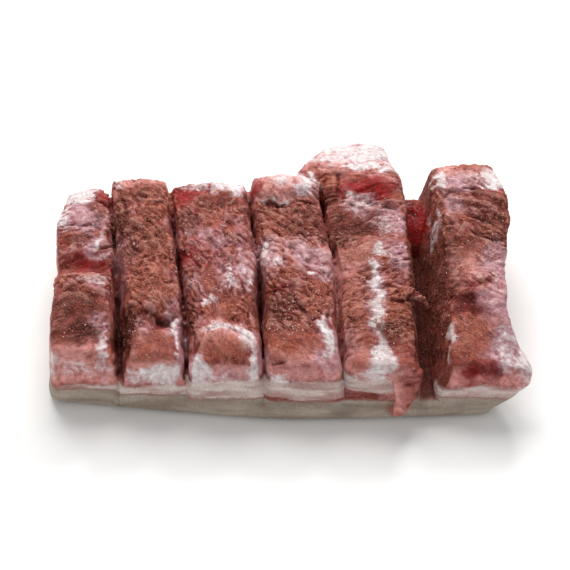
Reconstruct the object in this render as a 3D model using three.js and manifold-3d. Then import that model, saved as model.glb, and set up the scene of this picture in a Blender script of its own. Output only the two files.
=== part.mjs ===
// A raw pork belly slab, lying on its rind and scored from the meat side into six strips that the fat and
// rind underneath still hold together.
//
// Millimetres. +X runs along the slab from the first strip to the last, +Y from its front edge to its back
// edge, and +Z up from the surface that it rests on. The origin is on the flat underside of the rind.
//
// The slab is one piece of meat, so it is one solid: a rind layer, six strips, a few tags of loose meat and
// the closed ends of the cuts, each a finely divided box that named sizes bend into shape, all joined.
import * as THREE from "three";
import { mergeVertices } from "three/addons/utils/BufferGeometryUtils.js";
import Module from "manifold-3d";

const { lerp, clamp } = THREE.MathUtils;

// Driving dimensions of the rind and the fat that it carries, which the knife left uncut.
const RIND = {
  left: -107.5,
  right: 108,
  thickness: 11.5,
  cornerRadius: 4.5,
  segments: [26, 12, 3],
};
// Its front edge bows outwards, furthest at x = at, and falls back towards both ends.
const FRONT_BOW = { at: 14, y: -74.5, leftFall: 13, rightFall: 3.5, power: 1.3 };
// Where its back edge lies at evenly spaced stations from its left end to its right end.
const BACK_EDGE = [52, 56.5, 55, 58, 61.5, 62];

// The strips start inside the rind layer, so that they fuse with it. Their front ends lean back.
const STRIP_FOOT_Z = 3;
const STRIP_FRONT_LEAN = 4;
const STRIP_RADIUS = 4;
const STRIP_CROWN = 1.6;
const STRIP_SEGMENTS = [8, 22, 5];
// The box that each strip is bent from, which only sets how round its corners come out.
const STRIP_BOX = new THREE.Vector3(36, 122, 34);

// Relief of the torn and cut meat: how wide its lumps are, and how far they move the surface.
const LUMPS = [
  { width: 15, height: 1.3 },
  { width: 7.5, height: 1.1 },
];

// Each list holds five stations, evenly spaced from the front end to the back end of the strip: the left
// and right edges of its top, and the height of its top. foot gives the edges at the strip's foot, at the
// front and at the back: neighbours overlap there, so that the narrow cuts between them close in a V, above
// the rind. swells are soft local bulges and dents: where, how far they push, and their size.
const STRIPS = [
  {
    front: -65,
    back: 53,
    left: [-104.5, -106.5, -106, -107, -104.5],
    right: [-75, -77.5, -77.5, -79.5, -83.5],
    height: [34, 38, 37.5, 39.5, 35.5],
    foot: { left: [-106, -106.5], right: [-68.5, -79.2] },
    swells: [
      { at: [-92, -4, 38], push: [0, 0, -4], size: [22, 5, 12] },
      { at: [-106, -2, 30], push: [1.2, 0, 0], size: [8, 7, 20] },
      { at: [-92, -32, 38], push: [0, 0, 2], size: [14, 14, 12] },
    ],
  },
  {
    front: -68.5,
    back: 59,
    left: [-65.5, -67.5, -73.5, -78.5, -82],
    right: [-41.5, -43, -46.5, -50, -53],
    height: [33.5, 39.5, 40.5, 41, 38.5],
    foot: { left: [-78, -80.8], right: [-36.5, -51] },
    swells: [
      { at: [-51, -42, 39], push: [0, 0, -3.5], size: [6.5, 4.5, 10] },
      { at: [-54, -31, 39], push: [0, 0, 2], size: [11, 7, 12] },
      { at: [-70, 30, 39], push: [0, 0, -2], size: [6, 10, 12] },
    ],
  },
  {
    front: -71.5,
    back: 55.5,
    left: [-37.5, -39, -43, -47, -51.5],
    right: [-3.5, -6.5, -6.5, -9.5, -12],
    height: [32, 38.5, 40, 41, 38],
    foot: { left: [-41, -52.5], right: [-0.5, -10.4] },
    swells: [
      { at: [-18, -56, 36], push: [0, -1.5, 3.5], size: [13, 9, 12] },
      { at: [-18, -40, 38], push: [0, 0, -2], size: [14, 5, 12] },
      { at: [-20, 52, 36], push: [0, 1.5, 1], size: [12, 6, 12] },
    ],
  },
  {
    front: -73,
    back: 58.5,
    left: [-1, -1.3, -3.3, -7.5, -10.5],
    right: [34, 32, 32, 27, 24],
    height: [32.5, 39, 41, 41, 39.5],
    foot: { left: [-3.5, -12], right: [38, 25.8] },
    swells: [
      { at: [8, 43, 40], push: [0, 0, -2.5], size: [22, 4, 12] },
      { at: [8, 53, 40], push: [0, 0, 1.5], size: [20, 8, 14] },
      { at: [27, -60, 36], push: [0, 0, 1.5], size: [8, 10, 12] },
    ],
  },
  {
    front: -72.3,
    back: 66,
    left: [37, 34.5, 34, 28.5, 25.5],
    right: [71.5, 69.5, 70, 69.5, 67],
    height: [32, 39.5, 41, 37, 39],
    foot: { left: [32.5, 24.2], right: [73, 70] },
    swells: [
      { at: [46, 24, 38], push: [0, 0, -4], size: [20, 10, 14] },
      { at: [52, 6, 40], push: [0, 0, 2], size: [18, 7, 12] },
      { at: [30, 53, 40], push: [0, 0, 3], size: [6, 9, 12] },
      { at: [52, 51, 40], push: [0, 1, 3.5], size: [13, 9, 14] },
      { at: [66, -20, 34], push: [1.5, 0, 0], size: [10, 10, 14] },
    ],
  },
  {
    front: -70.5,
    back: 66,
    left: [86, 87, 86.5, 84.5, 81.5],
    right: [120.5, 116.5, 118, 122, 115.5],
    height: [31, 39.5, 43, 44.5, 42],
    foot: { left: [76, 72.5], right: [107, 106.5] },
    swells: [
      { at: [117, -60, 20], push: [11, -2.5, -2], size: [18, 15, 13] },
      { at: [103, 22, 43], push: [0, 0, 2], size: [14, 14, 14] },
      { at: [100, -4, 42], push: [0, 0, -2], size: [16, 6, 12] },
      { at: [104, -28, 40], push: [0, 0, 1.5], size: [14, 12, 12] },
      { at: [90, -22, 38], push: [3, 0, -2], size: [7, 12, 12] },
    ],
  },
];

// Tags of meat that stay joined to the slab. Each is a flat box with a root and a tip, whose middle line
// runs from root to tip and is pushed aside by bow at its middle.
const TAGS = {
  frontFlap: {
    root: [66, -65, 30],
    tip: [60.5, -78, 8.5],
    bow: [1.5, -4.5, 3],
    across: [1, 0, 0],
    width: [17, 5],
    thickness: [6, 2.6],
    segments: [5, 8, 2],
  },
  edgeCurl: {
    root: [61, -25, 38],
    tip: [77.5, -28.5, 35],
    bow: [0, 1, 3],
    across: [0, 1, 0],
    width: [8, 5],
    thickness: [5, 2.4],
    segments: [3, 6, 2],
  },
  backTail: {
    root: [36, 48, 29],
    tip: [44.5, 91, 28],
    bow: [0, 0, 3.5],
    across: [1, 0, 0],
    width: [68, 30],
    thickness: [26, 12],
    segments: [10, 7, 4],
  },
  backWeb: {
    root: [76, 30, 9],
    tip: [76, 61, 19],
    bow: [0, -1, 4],
    across: [1, 0, 0],
    width: [24, 24],
    thickness: [12, 16],
    segments: [5, 6, 3],
  },
};

// The meat that closes each narrow cut at the back: where it ends there, and how high it reaches.
const CUT_ENDS = [
  { x: -82.5, back: 51.5, top: 33 },
  { x: -52.5, back: 54, top: 35 },
  { x: -11.5, back: 54, top: 35.5 },
  { x: 24.5, back: 57, top: 36.5 },
];
const CUT_END = { width: 9, length: 10, bottom: 8, segments: [2, 3, 3] };

/** The value at t, from 0 to 1, of a smooth curve through evenly spaced stations. */
function along(stations, t) {
  const last = stations.length - 1;
  const place = clamp(t, 0, 1) * last;
  const i = Math.min(Math.floor(place), last - 1);
  const f = place - i;
  const [p0, p1, p2, p3] = [-1, 0, 1, 2].map(
    (k) => stations[clamp(i + k, 0, last)],
  );
  const curve = 2 * p0 - 5 * p1 + 4 * p2 - p3 + f * (3 * (p1 - p2) + p3 - p0);
  return p1 + (f / 2) * (p2 - p0 + f * curve);
}

/** A number from -1 to 1 that looks random and is always the same for the same whole numbers. */
function scattered(i, j, k) {
  const wave = Math.sin(i * 127.1 + j * 311.7 + k * 74.7) * 43758.5453;
  return 2 * (wave - Math.floor(wave)) - 1;
}

/** Soft random unevenness from -1 to 1 at a point, with lumps of the given width. */
function unevenness(point, width) {
  const [x, y, z] = point.toArray().map((v) => v / width);
  const [i, j, k] = [x, y, z].map(Math.floor);
  const [u, v, w] = [x - i, y - j, z - k].map((f) => f * f * (3 - 2 * f));
  const row = (dj, dk) => lerp(scattered(i, j + dj, k + dk), scattered(i + 1, j + dj, k + dk), u);
  const sheet = (dk) => lerp(row(0, dk), row(1, dk), v);
  return lerp(sheet(0), sheet(1), w);
}

/** The relief of the meat at a point. */
function relief(point) {
  return LUMPS.reduce((sum, { width, height }) => sum + height * unevenness(point, width), 0);
}

/** Draws a grid coordinate from -1 to 1 towards its ends, where the round edges need more faces. */
function bunched(s) {
  return 0.45 * s + 0.55 * Math.sin((s * Math.PI) / 2);
}

/** Moves a point of a box's surface onto the same box with round edges. */
function rounded(point, half, radius) {
  const inner = new THREE.Vector3(
    clamp(point.x, radius - half.x, half.x - radius),
    clamp(point.y, radius - half.y, half.y - radius),
    clamp(point.z, radius - half.z, half.z - radius),
  );
  const out = point.clone().sub(inner);
  return out.lengthSq() > 0 ? inner.add(out.setLength(radius)) : inner;
}

/** A box with round edges whose points, from -1 to 1 along each side, go where place puts them. */
function shapedBox(size, radius, segments, place) {
  const geometry = new THREE.BoxGeometry(2, 2, 2, ...segments);
  geometry.deleteAttribute("normal");
  geometry.deleteAttribute("uv");
  const position = geometry.getAttribute("position");
  const half = size.clone().multiplyScalar(0.5);
  const point = new THREE.Vector3();
  for (let i = 0; i < position.count; i++) {
    point.fromBufferAttribute(position, i);
    point.set(bunched(point.x), bunched(point.y), bunched(point.z));
    const onBox = rounded(point.multiply(half), half, radius).divide(half);
    position.setXYZ(i, ...place(onBox.x, onBox.y, onBox.z));
  }
  return mergeVertices(geometry, 1e-4);
}

/** How far the front edge of the rind reaches at x. */
function frontEdge(x) {
  const { at, y, leftFall, rightFall, power } = FRONT_BOW;
  const share = x < at ? (at - x) / (at - RIND.left) : (x - at) / (RIND.right - at);
  return y + (x < at ? leftFall : rightFall) * share ** power;
}

/** The rind and the fat on it, flat underneath. */
function rindGeometry() {
  const size = new THREE.Vector3(
    RIND.right - RIND.left,
    BACK_EDGE[0] - FRONT_BOW.y,
    RIND.thickness,
  );
  return shapedBox(size, RIND.cornerRadius, RIND.segments, (a, b, c) => {
    const s = (a + 1) / 2;
    const x = lerp(RIND.left, RIND.right, s);
    const y = lerp(frontEdge(x), along(BACK_EDGE, s), (b + 1) / 2);
    return [x, y, (RIND.thickness * (c + 1)) / 2];
  });
}

/** Adds the pushes of all swells that reach a point. */
function swollen(point, swells) {
  const moved = point.clone();
  for (const { at, push, size } of swells) {
    const d = [point.x - at[0], point.y - at[1], point.z - at[2]];
    const far = d.reduce((sum, v, k) => sum + (v / size[k]) ** 2, 0);
    moved.addScaledVector(new THREE.Vector3(...push), Math.exp(-far));
  }
  return moved;
}

/** One strip of meat between two cuts, with the relief growing from its foot to its top. */
function stripGeometry(strip) {
  const { front, back, left, right, height, foot, swells } = strip;
  return shapedBox(STRIP_BOX, STRIP_RADIUS, STRIP_SEGMENTS, (a, b, c) => {
    const t = (b + 1) / 2;
    const rise = (c + 1) / 2;
    const leftEdge = lerp(lerp(...foot.left, t), along(left, t), rise);
    const rightEdge = lerp(lerp(...foot.right, t), along(right, t), rise);
    const x = lerp(leftEdge, rightEdge, (a + 1) / 2);
    const y = lerp(front + STRIP_FRONT_LEAN * rise, back, t);
    const top = along(height, t) + STRIP_CROWN * (1 - a * a);
    const z = lerp(STRIP_FOOT_Z, top, rise);
    const point = swollen(new THREE.Vector3(x, y, z), swells);
    const outwards = new THREE.Vector3(0.35 * a, 0.8 * b ** 3, 1);
    return point.addScaledVector(outwards, rise * relief(point)).toArray();
  });
}

/** A thin tag of meat from its root to its tip. */
function tagGeometry({ root, tip, bow, across, width, thickness, segments }) {
  const start = new THREE.Vector3(...root);
  const end = new THREE.Vector3(...tip);
  const sideways = new THREE.Vector3(...across);
  const forward = end.clone().sub(start);
  const outwards = sideways.clone().cross(forward).normalize();
  const size = new THREE.Vector3(width[0], forward.length(), thickness[0]);
  const radius = 0.45 * Math.min(thickness[0], width[0]);
  return shapedBox(size, radius, segments, (a, b, c) => {
    const t = (b + 1) / 2;
    const point = start.clone().lerp(end, t);
    point.addScaledVector(new THREE.Vector3(...bow), 4 * t * (1 - t));
    point.addScaledVector(sideways, (a * lerp(...width, t)) / 2);
    point.addScaledVector(outwards, (c * lerp(...thickness, t)) / 2);
    return point.addScaledVector(outwards, relief(point) / 2).toArray();
  });
}

/** The block of meat that closes the back end of one cut. */
function cutEndGeometry({ x, back, top }) {
  const { width, length, bottom, segments } = CUT_END;
  const middle = (bottom + top) / 2;
  return tagGeometry({
    root: [x, back - length, middle],
    tip: [x, back, middle],
    bow: [0, 0, 0],
    across: [1, 0, 0],
    width: [width, width],
    thickness: [top - bottom, top - bottom],
    segments,
  });
}

const wasm = await Module();
wasm.setup();

/** A closed geometry as a solid that can be joined to others. */
function solidOf(geometry) {
  return new wasm.Manifold(
    new wasm.Mesh({
      numProp: 3,
      vertProperties: new Float32Array(geometry.attributes.position.array),
      triVerts: new Uint32Array(geometry.index.array),
    }),
  );
}

/** Joins closed geometries into one. */
function joined(geometries) {
  const whole = geometries.map(solidOf).reduce((a, b) => a.add(b));
  const { vertProperties, triVerts } = whole.getMesh();
  const geometry = new THREE.BufferGeometry();
  geometry.setAttribute("position", new THREE.BufferAttribute(vertProperties, 3));
  geometry.setIndex(new THREE.BufferAttribute(triVerts, 1));
  geometry.computeVertexNormals();
  return geometry;
}

const rawPork = new THREE.MeshStandardMaterial({
  color: 0x9a5248,
  roughness: 0.55,
  metalness: 0,
});

const slab = new THREE.Mesh(
  joined([
    rindGeometry(),
    ...STRIPS.map(stripGeometry),
    ...Object.values(TAGS).map(tagGeometry),
    ...CUT_ENDS.map(cutEndGeometry),
  ]),
  rawPork,
);
slab.name = "pork_belly_slab";

const porkBelly = new THREE.Group();
porkBelly.add(slab);

export default porkBelly;
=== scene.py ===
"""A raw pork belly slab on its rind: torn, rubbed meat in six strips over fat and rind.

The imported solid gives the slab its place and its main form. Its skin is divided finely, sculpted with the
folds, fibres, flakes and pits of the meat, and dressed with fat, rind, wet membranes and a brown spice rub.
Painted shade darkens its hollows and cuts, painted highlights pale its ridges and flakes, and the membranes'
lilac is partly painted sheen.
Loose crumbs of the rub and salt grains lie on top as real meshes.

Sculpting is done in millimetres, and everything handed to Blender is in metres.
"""

from __future__ import annotations

import logging
import math
from collections.abc import Iterable, Mapping, Sequence
from dataclasses import dataclass, field
from enum import Enum
from itertools import product
from typing import ClassVar

import bmesh
import bpy
import numpy as np
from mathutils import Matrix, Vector

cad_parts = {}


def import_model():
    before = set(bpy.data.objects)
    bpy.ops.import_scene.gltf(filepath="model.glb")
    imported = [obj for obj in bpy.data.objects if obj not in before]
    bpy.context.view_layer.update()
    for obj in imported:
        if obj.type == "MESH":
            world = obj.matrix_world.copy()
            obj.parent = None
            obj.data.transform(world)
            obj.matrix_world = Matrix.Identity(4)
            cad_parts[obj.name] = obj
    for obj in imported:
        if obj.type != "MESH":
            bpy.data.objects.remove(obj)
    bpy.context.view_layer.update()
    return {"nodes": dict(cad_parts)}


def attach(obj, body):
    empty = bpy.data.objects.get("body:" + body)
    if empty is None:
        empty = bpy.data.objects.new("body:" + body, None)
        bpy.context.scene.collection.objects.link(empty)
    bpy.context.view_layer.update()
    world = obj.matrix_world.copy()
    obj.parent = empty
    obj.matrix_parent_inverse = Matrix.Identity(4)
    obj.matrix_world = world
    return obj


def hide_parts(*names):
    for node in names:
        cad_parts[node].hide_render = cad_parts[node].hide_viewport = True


log = logging.getLogger("pork_belly")

NODE = "pork_belly_slab"
BODY = "root"
MM = 0.001
MOST_TRIANGLES = 196_000

Array = np.ndarray
Colour = tuple[float, float, float, float]
Span = tuple[float, float]


def srgb(red: int, green: int, blue: int) -> Colour:
    """Turns a colour as screens give it, 0 to 255, into the linear colour that shaders use."""
    shares = (value / 255 for value in (red, green, blue))
    linear = (s / 12.92 if s <= 0.04045 else ((s + 0.055) / 1.055) ** 2.4 for s in shares)
    return (*linear, 1.0)


def smoothstep(low: float, high: float, value: Array) -> Array:
    """Rises smoothly from 0 at low to 1 at high."""
    share = np.clip((value - low) / (high - low), 0, 1)
    return share * share * (3 - 2 * share)


def at_least(least: float, share: Array) -> Array:
    """Squeezes values from 0 to 1 into least to 1."""
    return least + (1 - least) * share


# ---------------------------------------------------------------------------------------------------------
# Unevenness
# ---------------------------------------------------------------------------------------------------------


class Noise:
    """Smooth random unevenness in space, the same on every run."""

    CELLS = 256

    def __init__(self, seed: int) -> None:
        """Draws the table of directions and the order of cells.

        Args:
            seed: Number that the draws start from.
        """
        draw = np.random.default_rng(seed)
        directions = draw.normal(size=(self.CELLS, 3))
        self.directions = directions / np.linalg.norm(directions, axis=1, keepdims=True)
        self.jitter = draw.random((self.CELLS, 3))
        self.order = draw.permutation(self.CELLS)

    def _entry(self, cell: Array) -> Array:
        """Gives each whole-numbered cell its place in the tables."""
        last = self.CELLS - 1
        first = self.order[cell[:, 0] & last]
        second = self.order[(first + cell[:, 1]) & last]
        return self.order[(second + cell[:, 2]) & last]

    def smooth(self, points: Array, size: float | Sequence[float]) -> Array:
        """Soft unevenness of about -1 to 1.

        Args:
            points: Places, one row each.
            size: Width of its lumps, alike in all directions or one for each axis.

        Returns:
            One value for each place.
        """
        scaled = points / np.asarray(size, float)
        cell = np.floor(scaled).astype(np.int64)
        part = scaled - cell
        weight = part**3 * (part * (part * 6 - 15) + 10)
        total = np.zeros(len(points))
        for corner in product((0, 1), repeat=3):
            step = np.array(corner)
            direction = self.directions[self._entry(cell + step)]
            slope = np.einsum("ij,ij->i", direction, part - step)
            share = np.prod(np.where(step, weight, 1 - weight), axis=1)
            total += share * slope
        return total * 1.7

    def cells(self, points: Array, size: float) -> Array:
        """Distance to the nearest of scattered centres, as a share of size.

        Args:
            points: Places, one row each.
            size: Mean distance between the centres.

        Returns:
            One value for each place, about 0 at a centre and 0.9 between centres.
        """
        scaled = points / size
        cell = np.floor(scaled).astype(np.int64)
        part = scaled - cell
        nearest = np.full(len(points), 9.0)
        for corner in product((-1, 0, 1), repeat=3):
            step = np.array(corner)
            away = step + self.jitter[self._entry(cell + step)] - part
            nearest = np.minimum(nearest, np.einsum("ij,ij->i", away, away))
        return np.sqrt(nearest)


# ---------------------------------------------------------------------------------------------------------
# What lies where on the slab, in millimetres
# ---------------------------------------------------------------------------------------------------------


class Layer(Enum):
    """What the surface of the slab is made of, and where shade is painted on it."""

    FAT = "fat"
    # Wet membrane whose lilac colour is partly painted sheen of the wet meat
    SHEEN_MEMBRANE = "wet lilac membrane"
    PINK = "clean pink flesh"
    RED = "raw red lean"
    TAN = "light crumbs of rub"
    BROWN = "dark crumbs of rub"
    # Painted shade, not a tissue: hollows, cracks, lips and the depths of cuts darkened to a dark wet red
    PAINTED_SHADE = "dark wet hollow"
    RIND = "rind"


@dataclass(frozen=True)
class Cut:
    """One cut through the meat, by the place of its middle at the slab's front and back edges."""

    front_x: float
    back_x: float
    front_y: float = -70.0
    back_y: float = 60.0

    def at(self, y: Array) -> Array:
        """Where the cut runs at each depth y."""
        return self.front_x + (self.back_x - self.front_x) * (y - self.front_y) / (self.back_y - self.front_y)


CUTS = (
    Cut(-72.5, -81.0),
    Cut(-39.5, -52.5),
    Cut(-2.5, -12.0),
    Cut(36.0, 24.5),
    Cut(74.0, 73.0),
)
NARROW_CUTS = CUTS[:4]
# The direction in which each strip's fibres run, in degrees from the length of the slab.
GRAIN_DEGREES = (18.0, -55.0, -58.0, -48.0, 8.0, -35.0)


def strip_of(points: Array) -> Array:
    """Numbers the strip that each place lies in, from 0."""
    return sum((points[:, 0] > cut.at(points[:, 1])).astype(int) for cut in CUTS)


@dataclass(frozen=True)
class Patch:
    """An oval area of the slab that one layer covers.

    The middle is at x, y and z. wide, deep and high are half sizes along the slab, from front to back and
    upwards, and turn swings the oval about the upright, in degrees.
    """

    x: float
    y: float
    wide: float
    deep: float
    strength: float = 1.0
    turn: float = 0.0
    z: float = 38.0
    high: float = 16.0

    def cover(self, points: Array) -> Array:
        """How far the patch covers each place, from 0 to its strength."""
        angle = math.radians(self.turn)
        dx, dy, dz = points[:, 0] - self.x, points[:, 1] - self.y, points[:, 2] - self.z
        along = dx * math.cos(angle) + dy * math.sin(angle)
        across = dy * math.cos(angle) - dx * math.sin(angle)
        far = (along / self.wide) ** 2 + (across / self.deep) ** 2 + (dz / self.high) ** 2
        return self.strength * np.exp(-0.7 * far**1.5)


@dataclass(frozen=True)
class Stroke:
    """A ridge, crease or torn edge drawn over the top of the meat.

    The meat rises by height at the path, or sinks where height is negative. It falls off within width on
    the right of the path, and within shelf on its left.
    """

    path: tuple[tuple[float, float], ...]
    height: float
    width: float = 1.0
    shelf: float = 1.0

    def lift(self, points: Array) -> Array:
        """How far the stroke lifts each place.

        Args:
            points: Places, one row each.

        Returns:
            The rise of each place, negative where it sinks.
        """
        reach = 3 * max(self.width, self.shelf)
        route = np.array(self.path)
        low, high = route.min(0) - reach, route.max(0) + reach
        near = np.all((points[:, :2] > low) & (points[:, :2] < high), axis=1)
        place = points[near, :2]
        nearest = np.full(len(place), 1e9)
        lift = np.zeros(len(place))
        for number, (start, end) in enumerate(zip(route[:-1], route[1:])):
            run = end - start
            share = np.clip((place - start) @ run / (run @ run), 0, 1)
            away = place - start - share[:, None] * run
            far = np.hypot(*away.T)
            left = run[0] * away[:, 1] - run[1] * away[:, 0] > 0
            fall = np.where(left, np.exp(-far / self.shelf), np.exp(-((far / self.width) ** 2)))
            along = (number + share) / (len(route) - 1)
            ends = smoothstep(0, 0.2, along) * smoothstep(0, 0.2, 1 - along)
            closer = far < nearest
            nearest = np.where(closer, far, nearest)
            lift = np.where(closer, self.height * fall * ends, lift)
        whole = np.zeros(len(points))
        whole[near] = lift
        return whole


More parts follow.
